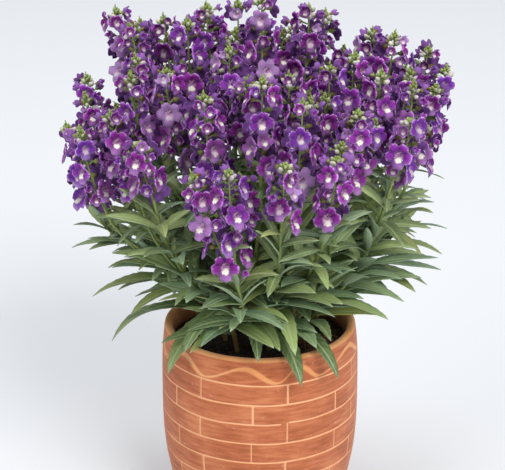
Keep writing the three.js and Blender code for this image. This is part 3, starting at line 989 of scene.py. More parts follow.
def blade_shape(leaf: LeafSeat) -> bmesh.types.BMesh:
    """Makes a plain blade in a leaf's place, from a little beyond its root.

    Args:
        leaf: where the leaf sits.

    Returns:
        The blade.
    """
    mesh = bmesh.new()
    bmesh.ops.create_grid(mesh, x_segments=2, y_segments=5, size=1)
    for vertex in mesh.verts:
        share = mix(BLADE_START, 1.0, (vertex.co.y + 1) / 2)
        vertex.co = leaf.put(vertex.co.x * BladeModel().half_width(share), share, 0)
    return mesh


# The clay pot


@dataclass
class ClayPot:
    """The pot: its carved rings and joints, the wave band under its lip, and its finish, in millimetres."""

    turns: int = 560
    first_ring: float = 20.5
    row_height: float = 16.0
    ring_count: int = 8
    groove_half: float = 0.62
    groove_soft: float = 0.45
    groove_depth: float = 0.55
    joints_a_row: int = 7
    odd_joint: float = 15.4
    even_joint: float = -4.1
    joint_slack: float = 1.5
    bare_lip: float = 2.4
    lip_share: float = 0.36
    lip_steps: int = 10
    inner_heights: tuple[float, ...] = (150, 140, 130, 112, 75, 38)
    axis_gap: float = 50.0
    inner_shade: tuple[float, float] = (12.0, 6.0)
    broken_ring: int = 2
    break_from: float = 12.0
    break_to: float = 16.5
    break_rise: float = 1.0
    break_fade: float = 40.0
    crest_depth: float = 7.5
    trough_depth: float = 18.2
    crest_half: float = 1.7
    fall_half: float = 2.9
    rise_half: float = 0.75
    fine_step: float = 0.5
    band_step: float = 0.8
    coarse_step: float = 2.6
    # wave crests and the troughs after them, in degrees from the front toward +X
    waves: Pairs = (
        (-50, -34), (-9, 10), (23, 36), (65, 82), (105, 122), (147, 164), (188, 206), (229, 247),
        (270, 288))

    def __post_init__(self) -> None:
        """Reads the pot's outline from its CAD node."""
        copy = merged_copy("pot")
        heights = sorted({round(v.co.z, 3) for v in copy.verts})
        reach = {z: [v.co.xy.length for v in copy.verts if abs(v.co.z - z) < 0.01] for z in heights}
        copy.free()
        self.height = heights[-1]
        outer = [(z, max(reach[z])) for z in heights]
        self.floor_z = next(z for z in heights if min(reach[z]) < 1e-3 and z > 1)
        self.outer = [(z, radius) for z, radius in outer if z != self.floor_z and radius > self.axis_gap]
        self.wall = self.outer[-2][1] - min(reach[self.outer[-2][0]])
        self.lip_start = self.height - self.wall * self.lip_share
        body = [Vector((z, radius, 0)) for z, radius in self.outer[:-1]]
        self.outline = [(point.x, point.y) for point in smooth_path(body, 6)]
        draw = random.Random(5)
        self.joint_shift = [draw.uniform(-1, 1) * self.joint_slack
                            for _ in range(self.ring_count * self.joints_a_row)]

    def radius(self, z: float) -> float:
        """Outer radius of the clay at a height.

        Args:
            z: the height.

        Returns:
            The radius on a smooth curve through the CAD's outline.
        """
        points = self.outline
        for (z0, r0), (z1, r1) in zip(points, points[1:]):
            if z <= z1:
                return mix(r0, r1, clamp((z - z0) / (z1 - z0)))
        return points[-1][1]

    def rows(self) -> list[float]:
        """Places the mesh's rows, close together at the carved rings and in the wave band.

        Returns:
            Their heights.
        """
        rings = [self.height - self.first_ring - self.row_height * i for i in range(self.ring_count)]
        top = self.lip_start
        rows = [0.0]
        while rows[-1] < top:
            z = rows[-1]
            near = min(abs(z - ring) for ring in rings)
            step = clamp((near - 1.0) * 0.6, self.fine_step, self.coarse_step)
            if self.height - z < self.first_ring - 1:
                step = min(step, self.band_step)
            rows.append(min(z + step, top))
        return rows

    def profile(self) -> list[tuple[float, float]]:
        """Draws the outline of the wall.

        Returns:
            Radius and height of its points, from the middle of the foot, round the lip, to the middle
            of the floor.
        """
        points = [(0.0, 0.0), (self.radius(0) - 1.2, 0.0)]
        points += [(self.radius(z) - (0.6 if z == 0 else 0), max(z, 0.25)) for z in self.rows()]
        top = points[-1]
        lip = self.wall
        middle_r = top[0] - lip / 2 + 0.3
        for step in range(1, self.lip_steps):
            angle = math.pi * step / self.lip_steps
            points.append((middle_r + (top[0] - middle_r) * math.cos(angle),
                           mix(self.lip_start, self.height, math.sin(angle))))
        points += [(self.radius(z) - lip, z) for z in (*self.inner_heights, self.floor_z + 3)]
        return [*points, (self.radius(self.floor_z) - lip - 3, self.floor_z), (0.0, self.floor_z)]

    def wave(self, angle: float) -> tuple[float, float]:
        """The ribbon of the wave band at an angle.

        Args:
            angle: degrees from the front toward +X.

        Returns:
            Depth of the ribbon's middle below the lip, and half its height.
        """
        turn = (angle - self.waves[0][0]) % 360 + self.waves[0][0]
        for i, (crest, trough) in enumerate(self.waves):
            following = self.waves[i + 1][0] if i + 1 < len(self.waves) else self.waves[0][0] + 360
            if crest <= turn < trough:
                share = (turn - crest) / (trough - crest)
                swing = (1 - math.cos(math.pi * share)) / 2
                half = mix(self.crest_half, self.rise_half, share) + (
                    self.fall_half - self.crest_half) * math.sin(math.pi * share)
                return mix(self.crest_depth, self.trough_depth, swing), half
            if trough <= turn < following:
                share = (turn - trough) / (following - trough)
                swing = (1 - math.cos(math.pi * share)) / 2
                return (mix(self.trough_depth, self.crest_depth, swing),
                        mix(self.rise_half, self.crest_half, share ** 3))
        return self.crest_depth, self.crest_half

    def carved(self, angle: float, depth: float, radius: float) -> tuple[float, float]:
        """How far the slip is cut away, and how bare the clay is.

        Args:
            angle: degrees from the front toward +X.
            depth: distance below the lip.
            radius: the pot's radius there.

        Returns:
            The share of the carving's full depth, and the share of bare clay.
        """
        waver = 0.5 * noise.noise(Vector((angle * 0.045, depth * 0.02, 3.1)))
        cut = 0.0
        row = (depth - waver - self.first_ring) / self.row_height
        if round(row) == self.broken_ring and self.break_from < angle:
            row += self.break_rise / self.row_height * clamp(1 - (angle - self.break_to) / self.break_fade)
        near = round(row)
        whole = near != self.broken_ring or not self.break_from < angle < self.break_to
        if 0 <= near < self.ring_count and whole:
            cut = self.groove(abs(row - near) * self.row_height)
        course = math.floor(row)
        if course >= 0:
            base = self.odd_joint if course % 2 == 0 else self.even_joint
            pitch = 360 / self.joints_a_row
            index = round((angle - base) / pitch)
            shift = self.joint_shift[(course * self.joints_a_row + index) % len(self.joint_shift)]
            off = abs(angle - base - index * pitch - shift)
            cut = max(cut, self.groove(math.radians(off) * radius * 1.05))
        bare = clamp((self.bare_lip + waver - depth) / 0.8)
        if depth < self.first_ring:
            centre, half = self.wave(angle)
            ribbon = clamp((half - abs(depth - waver - centre)) / 0.7 + 0.5)
            bare = max(bare, ribbon)
            cut = max(cut, 0.45 * ribbon)
        return cut, max(bare, cut)

    def groove(self, off: float) -> float:
        """Share of a groove's depth at a distance from its middle."""
        return clamp((self.groove_half - off) / self.groove_soft + 0.5)

    def build(self, clay: bpy.types.Material) -> bpy.types.Object:
        """Turns the wall, carves it and dresses it.

        Args:
            clay: the pot's material.

        Returns:
            The pot.
        """
        mesh = bmesh.new()
        spin_profile(mesh, self.profile(), self.turns)
        bare_clay_and_inner_shade_layer = mesh.verts.layers.float.new("bare")
        wear_layer = mesh.verts.layers.float.new("cut")
        for vertex in mesh.verts:
            x, y, z = vertex.co
            radius = math.hypot(x, y)
            depth = self.height - z
            outside = radius > self.radius(z) - 1.0
            if not outside:
                # inside, the wall is bare clay near the lip and takes the darker slip colour deeper down:
                # painted shade in the pot's mouth
                low, fade = self.inner_shade
                vertex[bare_clay_and_inner_shade_layer] = clamp((low - depth) / fade) if radius > self.axis_gap else 0.0
                continue
            angle = math.degrees(math.atan2(x, -y))
            cut, bare = self.carved(angle, depth, radius)
            vertex[bare_clay_and_inner_shade_layer] = bare
            vertex[wear_layer] = cut
            inward = self.groove_depth * cut / radius
            vertex.co.x -= x * inward
            vertex.co.y -= y * inward
        return make_piece("clay_pot", mesh, [clay], "pot")


# The soil


@dataclass
class PottingSoil:
    """The soil: a rough top in the pot with crumbs of peat and coir fibres on it, in millimetres."""

    turns: int = 96
    rings: int = 30
    roughness: float = 1.3
    crumbs: int = 900
    crumb_sizes: tuple[float, float] = (0.7, 2.4)
    mound: tuple[float, float] = (44.0, -22.0)
    mound_height: float = 6.0
    mound_spread: float = 13.0
    fibres: int = 110
    fibre_lengths: tuple[float, float] = (12.0, 34.0)
    fibre_radius: float = 0.32
    fibre_arch: float = 3.0
    brim_from: float = 60.0
    side_from: float = 45.0
    margin: float = 2.0

    def build(self, peat: bpy.types.Material, coir: bpy.types.Material) -> bpy.types.Object:
        """Builds and dresses the soil.

        Args:
            peat: its own material.
            coir: the fibres' material.

        Returns:
            The soil.
        """
        copy = merged_copy("soil")
        self.top = max(v.co.z for v in copy.verts)
        self.brim = max(v.co.z for v in copy.verts if v.co.xy.length > self.brim_from)
        sides = sorted({(round(v.co.z, 2), round(v.co.xy.length, 1)) for v in copy.verts
                        if v.co.xy.length > self.side_from and v.co.z < self.brim - 1})
        bottom = min(v.co.z for v in copy.verts)
        self.reach = max(v.co.xy.length for v in copy.verts if v.co.z > self.brim - 1)
        copy.free()
        growth = Growth()
        mesh = growth.mesh
        outer = [(0, bottom), *[(r, z) for z, r in sides], (self.reach, self.brim - 1)]
        outer += [(self.reach * (1 - i / self.rings), mix(self.brim, self.top, i / self.rings))
                  for i in range(1, self.rings + 1)]
        spin_profile(mesh, outer, self.turns)
        for vertex in mesh.verts:
            if vertex.co.z > self.brim - 0.5:
                vertex.co.z += self.lump(vertex.co)
        draw = random.Random(21)
        for _ in range(self.crumbs):
            angle = draw.uniform(0, math.tau)
            out = (self.reach - self.margin) * math.sqrt(draw.random())
            size = mix(*self.crumb_sizes, draw.random() ** 3)
            spot = self.on_top(Vector((out * math.cos(angle), out * math.sin(angle), 0)), size * 0.2)
            turn = draw.uniform(0, math.tau)
            spin = Matrix.Rotation(turn, 4, Vector([draw.uniform(-1, 1) for _ in "xyz"]))
            shape = Matrix.Diagonal((size, size * draw.uniform(0.5, 0.9), size * draw.uniform(0.4, 0.8), 1))
            bmesh.ops.create_icosphere(mesh, subdivisions=1, radius=1,
                                       matrix=Matrix.Translation(spot) @ spin @ shape)
        for _ in range(self.fibres):
            self.add_fibre(growth, draw)
        return make_piece("potting_soil", mesh, [peat, coir], "soil")

    def add_fibre(self, growth: Growth, draw: random.Random) -> None:
        """Lays one coir fibre in a low arch, most of them round the mound.

        Args:
            growth: the soil.
            draw: the source of its place and shape.
        """
        spread = self.mound_spread if draw.random() < 0.6 else self.reach / 2
        middle_spot = Vector((draw.gauss(self.mound[0], spread), draw.gauss(self.mound[1], spread), 0))
        length = draw.uniform(*self.fibre_lengths)
        along = heading(draw.uniform(0, math.tau))
        bend = UP.cross(along) * length * draw.uniform(-0.35, 0.35)
        places = []
        for share in (0, 0.3, 0.65, 1):
            lift = self.fibre_arch * draw.random() * math.sin(math.pi * share)
            swing = math.sin(math.pi * share)
            spot = middle_spot + along * length * (share - 0.5) + bend * swing
            places.append(self.on_top(spot, lift + 0.2))
        path = smooth_path(places, 3)
        tone = draw.random()
        growth.tube(path, [self.fibre_radius] * len(path), 3, tones=(tone, tone), material=1)

    def on_top(self, spot: Vector, lift: float) -> Vector:
        """Finds the place over the soil's top at a spot, kept inside the pot.

        Args:
            spot: where it is seen from above.
            lift: its height over the top.

        Returns:
            The place.
        """
        out = max(spot.xy.length, 1e-3)
        inside = Vector((*(spot.xy * min(1, (self.reach - self.margin) / out)), 0))
        inside.z = mix(self.top, self.brim, inside.xy.length / self.reach) + self.lump(inside) + lift
        return inside

    def lump(self, spot: Vector) -> float:
        """Finds how far the soil's lumps and its mound raise it.

        Args:
            spot: a spot on the soil.

        Returns:
            The height there.
        """
        off = (spot.xy - Vector(self.mound)).length / self.mound_spread
        rough = self.roughness * (noise.noise(spot * 0.09) + 0.5 * noise.noise(spot * 0.31))
        return rough + self.mound_height * math.exp(-off * off / 2)


# The plant


@dataclass
class Shoot:
    """A side shoot with flowers, shorter than the spikes of the CAD, that fills a gap among them."""

    feed: list[Vector]
    stalk: list[Vector]
    blooms: list[BloomSeat]


@dataclass
class Spike:
    """A flower spike of the CAD, with what fills the room round it."""

    name: str
    stalk: list[Vector]
    blooms: list[BloomSeat]
    buds: list[BudSeat]
    late_blooms: list[BloomSeat] = field(default_factory=list)
    shoots: list[Shoot] = field(default_factory=list)

    @property
    def stalks(self) -> list[list[Vector]]:
        """The middle lines of the spike and of its shoots."""
        return [self.stalk, *[shoot.stalk for shoot in self.shoots]]

    @property
    def direction(self) -> Vector:
        """The direction from its foot to its tip."""
        return (self.stalk[-1] - self.stalk[0]).normalized()


@dataclass
class Stem:
    """A leafy stem of the CAD with the spikes that it carries."""

    name: str
    foot: Vector
    leaves: list[LeafSeat]
    spikes: list[Spike] = field(default_factory=list)
    paths: list[list[Vector]] = field(default_factory=list)
    small_leaves: list[LeafSeat] = field(default_factory=list)


@dataclass
class Angelonia:
    """The plant: its stalks, leaves, blooms and buds, in millimetres."""

    stem_radii: tuple[float, float] = (1.9, 1.3)
    branch_radii: tuple[float, float] = (1.3, 1.1)
    spike_radii: tuple[float, float] = (0.95, 0.5)
    pedicel_radius: float = 0.38
    bud_stalk_radius: float = 0.35
    plain_radius: float = 1.4
    stem_steps: int = 14
    branch_steps: int = 12
    ground: float = 148.6
    fork_height: float = 188.0
    fork_spread: float = 1.4
    fork_distance: float = 48.0
    fork_step: float = 14.0
    ease: float = 0.4
    side_lean: float = 0.5
    bloom_variants: int = 8
    late_columns: tuple[float, ...] = (-1, -0.33, 0.33)
    bloom_growth: float = 1.06
    border_size: float = 0.95
    border_pull: float = 3.4
    bloom_radius: float = 10.8
    bloom_reach: float = 9.5
    bloom_rise: float = 3.0
    bloom_roll: float = 9.0
    bloom_nod: float = 9.0
    bloom_tilt: float = 22.0
    bloom_overlap: float = 0.84
    bloom_turns: tuple[float, ...] = (0, 16, -16, 32, -32)
    calyx_depth: float = 5.6
    bract_lengths: tuple[float, float] = (3.4, 6.4)
    bract_shape: tuple[float, float, float, float] = (1, 0.3, 0.8, 1)
    bud_shape: tuple[float, float, float, float] = (0.76, 0.76, 1, 1)
    bud_count: int = 14
    bud_from: float = 0.76
    bud_to: float = 0.955
    # a CAD bud's share of stalk and of length, measured from the spike
    bud_shares: tuple[float, float] = (0.24, 0.74)
    shoot_lengths: tuple[float, float] = (50, 66)
    shoot_gaps: tuple[float, float] = (17, 27)
    shoot_drops: tuple[float, float] = (4, 34)
    shoot_least: int = 4
    shoot_tries: int = 8
    shoot_share: float = 0.8
    shoot_pitch: float = 6.6
    shoot_sizes: tuple[float, float] = (1.04, 0.82)
    late_count: int = 20
    late_span: tuple[float, float] = (0.04, 0.86)
    late_sizes: tuple[float, float] = (0.55, 0.8)
    late_reaches: tuple[float, float] = (6.5, 9.5)
    feed_slope: float = 1.7
    feed_ease: float = 0.38
    feed_steps: int = 8
    leaf_from: float = 172.0
    leaf_spacing: float = 9.0
    leaf_lengths: tuple[float, float] = (60, 30)
    leaf_width_shares: tuple[float, float] = (0.095, 0.138)
    leaf_leans: tuple[float, float] = (5, 52)
    main_leaf_leans: tuple[float, float] = (6, 20)
    leaf_rises: tuple[float, float] = (-4, 58)
    leaf_bends: tuple[float, float] = (12, 50)
    # turn in degrees and share of the length, tried in this order
    leaf_tries: tuple[tuple[float, float], ...] = (
        (0, 1), (22, 1), (-22, 1), (0, 0.75), (40, 0.8), (-40, 0.8), (0, 0.5))
    # the one broad pale leaf over the rim is the one whose tip is nearest to this place
    pale_tip: tuple[float, float, float] = (94, -38, 180)
    pale_width: float = 1.2
    detailed_from: float = 40.0
    # lowest height of the added blooms, by direction in degrees from the front toward +X
    hem: Pairs = (
        (-180, 285), (-110, 285), (-84, 268), (-60, 284), (-42, 304), (-28, 300), (-24, 276), (-18, 246),
        (-6, 242), (-3, 284), (2, 292), (23, 292), (39, 300), (54, 312), (69, 310), (100, 292),
        (180, 285))
    # lowest height of the added leaves' tips
    skirt: Pairs = (
        (-180, 166), (-60, 164), (-20, 172), (15, 178), (28, 196), (60, 206), (90, 186), (120, 180),
        (180, 166))

    def __post_init__(self) -> None:
        """Reads the plant from the CAD nodes, and fills the gaps that they leave."""
        self.draw = random.Random(77)
        calyx = calyx_model()
        self.open_blooms = [BloomModel().build(f"bloom_{seed}", seed, calyx)
                            for seed in range(self.bloom_variants)]
        self.cupped_blooms = [
            BloomModel(columns=self.late_columns, domed=False, cupped=cupped).build(
                f"cupped_{seed}", 50 + seed, calyx)
            for seed, cupped in enumerate((0.25, 0.4, 0.55, 0.75, 0.95))]
        self.bud = bud_model()
        self.bract = bract_model()
        self.blade = BladeModel().build("blade")
        self.small_blade = BladeModel(columns=2, teeth=3, foot=(-0.08, 0.1, 0.25)).build("small_blade")
        self.stems: list[Stem] = []
        self.spikes: list[Spike] = []
        self.read_nodes()
        self.crowd = Crowd()
        self.settle()
        for spike in self.spikes:
            self.add_shoots(spike)
        for spike in self.spikes:
            self.add_late_blooms(spike)
        for stem in self.stems:
            self.add_small_leaves(stem)

    def read_nodes(self) -> None:
        """Reads the stems and the spikes, and finds which stem carries which spike."""
        names = sorted(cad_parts)
        places = {}
        for name in [name for name in names if name.startswith("stem")]:
            reader = PlantReader(name)
            foot = middle(sorted(reader.copy.verts, key=lambda v: v.co.z)[:4])
            self.stems.append(Stem(name, foot, reader.leaves()))
            places[name] = [v.co.copy() for v in reader.copy.verts]
            reader.copy.free()
        for name in [name for name in names if name.startswith("spike")]:
            reader = PlantReader(name)
            blooms, buds = reader.blooms(), reader.buds()
            rings = reader.stalk()
            reader.copy.free()
            stalk = smooth_path(rings[:-1], 3)
            stalk[-1] = rings[-1].lerp(rings[-2], 0.2)
            spike = Spike(name, stalk, blooms, buds)
            self.spikes.append(spike)
            owner = min(self.stems, key=lambda stem: min(
                (place - stalk[0]).length_squared for place in places[stem.name]))
            owner.spikes.append(spike)

    def settle(self) -> None:
        """Lays the stems' middle lines, and takes everything from the CAD into the crowd."""
        for stem in self.stems:
            main = self.main_path(stem)
            stem.paths = [main, *self.side_paths(stem, main)]
            for path in stem.paths:
                self.crowd.add(self.plain_stalk(path), stem.name)
            for leaf in stem.leaves:
                spots = [nearest_on(path, leaf.places[0])[0] for path in stem.paths]
                leaf.places[0] = min(spots, key=lambda spot: (spot - leaf.places[0]).length)
                self.crowd.add(blade_shape(leaf))
                leaf.item = self.crowd.items[-1]
        for spike in self.spikes:
            self.crowd.add(self.plain_stalk(spike.stalk), spike.name)
            for bloom in spike.blooms:
                if self.crowd.holds(bloom.face, self.bloom_radius * self.bloom_growth * bloom.size):
                    bloom.size *= self.bloom_growth
                else:
                    bloom.size *= self.border_size
                    bloom.face -= bloom.out * self.border_pull
                self.crowd.add(bloom_shape(bloom))
        leaves = [leaf for stem in self.stems for leaf in stem.leaves]
        self.pale_leaf = min(leaves, key=lambda leaf: (leaf.places[-1] - Vector(self.pale_tip)).length)
        self.pale_leaf.half_width *= self.pale_width
        for leaf in leaves:
            self.turn_to_light(leaf)

    def turn_to_light(self, leaf: LeafSeat) -> None:
        """Turns the face of a leaf of the CAD a little outward, if it then crosses nothing.

        Args:
            leaf: the leaf.
        """
        along = (leaf.places[-1] - leaf.places[0]).normalized()
        lean = self.lean(leaf.places[0], along, self.main_leaf_leans)
        turned = LeafSeat(leaf.places, Matrix.Rotation(lean, 3, along) @ leaf.side, leaf.half_width)
        self.crowd.items.remove(leaf.item)
        if self.crowd.is_clear(blade_shape(turned)):
            leaf.side = turned.side
        self.crowd.add(blade_shape(leaf))

    def lean(self, root: Vector, along: Vector, leans: tuple[float, float]) -> float:
        """A leaf's turn about its own length, within these degrees, that shows its face to the light."""
        outward = Vector((root.x, root.y, 0)).normalized()
        return math.radians(self.draw.uniform(*leans)) * along.cross(UP).dot(outward)

    def plain_stalk(self, path: Sequence[Vector]) -> bmesh.types.BMesh:
        """Makes a stalk with few sides, for the crowd.

        Args:
            path: its middle line.

        Returns:
            The stalk.
        """
        growth = Growth()
        growth.tube(path, [self.plain_radius] * len(path), 4)
        return growth.mesh

    def main_path(self, stem: Stem) -> list[Vector]:
        """Finds the middle line of a stem from the soil to its first spike.

        Args:
            stem: the stem.

        Returns:
            The points of the line.
        """
        ground = Vector((*stem.foot.xy, self.ground))
        fork = Vector((*(stem.foot.xy * self.fork_spread), self.fork_height))
        rise = self.branch(fork, (fork - ground).normalized(), stem.spikes[0], self.stem_steps)
        return [stem.foot.copy(), ground, ground.lerp(fork, 0.5), *rise]

    def branch(self, start: Vector, leave: Vector, spike: Spike, steps: int) -> list[Vector]:
        """Finds the curve from a place on a stem up to the foot of a spike.

        Args:
            start: the place.
            leave: the direction there.
            spike: the spike.
            steps: pieces of the curve.

        Returns:
            The points of the curve.
        """
        end = spike.stalk[0] + spike.direction
        span = (end - start).length * self.ease
        return bezier(start, start + leave * span, end - spike.direction * span, end, steps)

    def side_paths(self, stem: Stem, main: Sequence[Vector]) -> list[list[Vector]]:
        """Finds the middle lines of a stem's side branches.

        Args:
            stem: the stem.
            main: its own middle line.

        Returns:
            A line for each spike after the first.
        """
        fork = main[3]
        paths = []
        for order, spike in enumerate(stem.spikes[1:]):
            left = self.fork_distance + self.fork_step * order
            spot = main[-1]
            for a, b in zip(main, main[1:]):
                if left <= (b - a).length:
                    spot = a.lerp(b, left / (b - a).length)
                    break
                left -= (b - a).length
            toward = (spike.stalk[0] - fork).normalized()
            level = Vector((toward.x, toward.y, 0)).normalized()
            leave = (toward + level * self.side_lean).normalized()
            paths.append(self.branch(spot, leave, spike, self.branch_steps))
        return paths

    def plan_bloom(self, root: Vector, angle: float, size: float, reach: float) -> BloomSeat:
        """Plans one more bloom.

        Args:
            root: where its stalk leaves the spike.
            angle: the direction that it faces, from the front toward +X.
            size: its size.
            reach: its distance from the spike.

        Returns:
            Its seat.
        """
        away = heading(angle)
        tilt = math.radians(self.draw.uniform(0, self.bloom_tilt))
        out = away * math.cos(tilt) + UP * math.sin(tilt)
        up, side = across(out, UP)
        return BloomSeat(root + away * reach + UP * self.bloom_rise, up, side, out, size, root)

    def is_over(self, border: Pairs, place: Vector) -> bool:
        """Tests a place against a lower edge that the photograph shows, such as the flowers' hem.

        Args:
            border: the edge's height by direction, in degrees from the front toward +X.
            place: the place.

        Returns:
            Whether it lies above the edge.
        """
        angle = math.degrees(math.atan2(place.x, -place.y))
        for (a, low), (b, high) in zip(border, border[1:]):
            if angle <= b:
                return place.z > mix(low, high, (angle - a) / (b - a))
        return True

    def place_bloom(self, root: Vector, angle: float, size: float, reach: float,
                    skip: str) -> BloomSeat | None:
        """Plans a bloom that crosses nothing, turned a little if it has to be.

        Args:
            root: where its stalk leaves the spike.
            angle: the direction that it faces.
            size: its size.
            reach: its distance from the spike.
            skip: the owner whose stalks it may touch.

        Returns:
            Its seat, or None if there is no room.
        """
        for turn in self.bloom_turns:
            seat = self.plan_bloom(root, angle + math.radians(turn), size, reach)
            inside = self.crowd.holds(seat.face, self.bloom_radius * size)
            if inside and self.is_over(self.hem, seat.face) and self.crowd.is_clear(
                    bloom_shape(seat, self.bloom_overlap), skip):
                return seat
        return None

    def add_shoots(self, spike: Spike) -> None:
        """Fills a gap beside a spike with a lower shoot, if there is room for enough blooms.

        Args:
            spike: the spike.
        """
        stem = next(stem for stem in self.stems if spike in stem.spikes)
        path = stem.paths[stem.spikes.index(spike)]
        best = None
        start = self.draw.uniform(0, math.tau)
        for i in range(self.shoot_tries):
            shift = heading(start + i * math.tau / self.shoot_tries) * self.draw.uniform(*self.shoot_gaps)
            length = self.draw.uniform(*self.shoot_lengths)
            top = spike.stalk[-1] + shift - UP * self.draw.uniform(*self.shoot_drops)
            base = top - spike.direction * length
            stalk = smooth_path([base, base.lerp(top, 0.5) + shift.normalized() * 2, top], 5)
            blooms = self.fill_stalk(stalk, length)
            if best is None or len(blooms) > len(best[2]):
                best = (base, stalk, blooms)
        base, stalk, blooms = best
        if len(blooms) < self.shoot_least:
            return
        start = next((i for i in range(len(path) - 3, 1, -1)
                      if base.z - path[i].z > self.feed_slope * (base.xy - path[i].xy).length), 2)
        low = path[start]
        span = (base - low).length * self.feed_ease
        leave = (path[start + 1] - low).normalized()
        feed = bezier(low, low + leave * span, base - spike.direction * span, base + spike.direction,
                      self.feed_steps)
        spike.shoots.append(Shoot(feed, stalk, blooms))
        self.crowd.add(self.plain_stalk(feed), spike.name)
        self.crowd.add(self.plain_stalk(stalk), spike.name)
        for bloom in blooms:
            self.crowd.add(bloom_shape(bloom))

    def fill_stalk(self, stalk: Sequence[Vector], length: float) -> list[BloomSeat]:
        """Plans the blooms of a shoot.

        Args:
            stalk: its middle line.
            length: its length.

        Returns:
            The seats of the blooms that have room.
        """
        blooms = []
        turn = self.draw.uniform(0, math.tau)
        count = int(length * self.shoot_share / self.shoot_pitch)
        for i in range(count):
            place = (i + self.draw.uniform(0, 0.4)) / count * self.shoot_share * (len(stalk) - 1)
            root = on_path(stalk, place)
            size = mix(*self.shoot_sizes, i / count) * self.draw.uniform(0.94, 1.04)
            seat = self.place_bloom(root, turn + GOLDEN_TURN * i, size, self.bloom_reach, "-")
            if seat:
                blooms.append(seat)
        return blooms

    def add_late_blooms(self, spike: Spike) -> None:
        """Fills the room that is left round a spike with small blooms that are still half closed.

        Args:
            spike: the spike.
        """
        for stalk in spike.stalks:
            turn = self.draw.uniform(0, math.tau)
            for i in range(self.late_count):
                place = mix(*self.late_span, i / (self.late_count - 1)) * (len(stalk) - 1)
                root = on_path(stalk, place)
                size = self.draw.uniform(*self.late_sizes)
                reach = self.draw.uniform(*self.late_reaches)
                seat = self.place_bloom(root, turn + GOLDEN_TURN * i, size, reach, spike.name)
                if seat:
                    spike.late_blooms.append(seat)
                    self.crowd.add(bloom_shape(seat))

    def add_small_leaves(self, stem: Stem) -> None:
        """Adds the smaller leaves of a stem, in crossed pairs, where there is room.

        Args:
            stem: the stem.
        """
        for path in stem.paths:
            total = path_length(path)
            turn = self.draw.uniform(0, math.tau)
            for i in range(int(total / self.leaf_spacing)):
                place = (i + self.draw.random()) * self.leaf_spacing / total * (len(path) - 1)
                if place >= len(path) - 1:
                    break
                root = on_path(path, place)
                if root.z < self.leaf_from:
                    continue
                turn += math.pi / 2
                for opposite in (0, math.pi):
                    self.add_small_leaf(stem, root, turn + opposite, root.z / path[-1].z)

    def add_small_leaf(self, stem: Stem, root: Vector, angle: float, share: float) -> None:
        """Adds one leaf if it can be turned or shortened until it crosses nothing.

        Args:
            stem: the stem.
            root: where it grows.
            angle: its direction from the front toward +X.
            share: how high it is against the foot of the flowers.
        """
        high = clamp((share - 0.6) / 0.4)
        length = mix(*self.leaf_lengths, high) * self.draw.uniform(0.7, 1.2)
        rise = math.radians(self.draw.uniform(*self.leaf_rises) + 8 * high)
        drop = rise - math.radians(self.draw.uniform(*self.leaf_bends))
        width_share = self.draw.uniform(*self.leaf_width_shares)
        for turn, scale in self.leaf_tries:
            long = length * scale
            toward = angle + math.radians(turn)
            roll = self.lean(root, heading(toward), self.leaf_leans)
            leaf = LeafSeat.arched(root, toward, rise, drop, long, long * width_share, roll)
            inside = self.is_over(self.skirt, leaf.places[-1]) and all(
                self.crowd.holds(place, 2) for place in leaf.places)
            if inside and self.crowd.is_clear(blade_shape(leaf), stem.name):
                stem.small_leaves.append(leaf)
                self.crowd.add(blade_shape(leaf))
                return

    def build_stem(self, stem: Stem, greens: Sequence[bpy.types.Material]) -> bpy.types.Object:
        """Builds a leafy stem.

        Args:
            stem: the stem.
            greens: materials in the order of GreenPart.

        Returns:
            The piece.
        """
        growth = Growth()
        for i, path in enumerate(stem.paths):
            radii = self.branch_radii if i else self.stem_radii
            last = len(path) - 1
            # painted shade: a stalk's tone is lowest at its foot, so it takes more of the shaded colour
            # there
            growth.tube(path, [mix(*radii, step / last) for step in range(last + 1)], 7 if i else 8,
                        tones=(0.3, 0.6), ages=(0.15 if i else 0.9, 0.0), material=GreenPart.STALK)
        for leaf in stem.leaves:
            self.add_blade(growth, leaf, self.blade)
        for leaf in stem.small_leaves:
            is_long = leaf.length() > self.detailed_from
            self.add_blade(growth, leaf, self.blade if is_long else self.small_blade)
        return make_piece(f"leafy_{stem.name}", growth.mesh, greens, stem.name)

    def add_blade(self, growth: Growth, leaf: LeafSeat, model: bpy.types.Mesh) -> None:
        """Bends a blade into its seat.

        Args:
            growth: the mesh that it joins.
            leaf: its seat.
            model: the flat blade.
        """
        tone, age = self.draw.random(), 1.0 if leaf is self.pale_leaf else self.draw.random()
        phase, swing = self.draw.uniform(0, math.tau), self.draw.uniform(0.15, 0.6)

        def put(point: Vector) -> Vector:
            """Bends one point, with a slight wave of the edge."""
            wave = swing * abs(point.x) * math.sin(point.y * 9 + phase + (1.6 if point.x > 0 else 0))
            return leaf.put(point.x, point.y, point.z + wave)

        growth.add(model, put, tone, age)

    def build_spike(self, spike: Spike, colours: Sequence[bpy.types.Material]) -> bpy.types.Object:
        """Builds a flower spike with its shoots.

        Args:
            spike: the spike.
            colours: materials in the order of FlowerPart.

        Returns:
            The piece.
        """
        growth = Growth()
        for stalk in spike.stalks:
            last = len(stalk) - 1
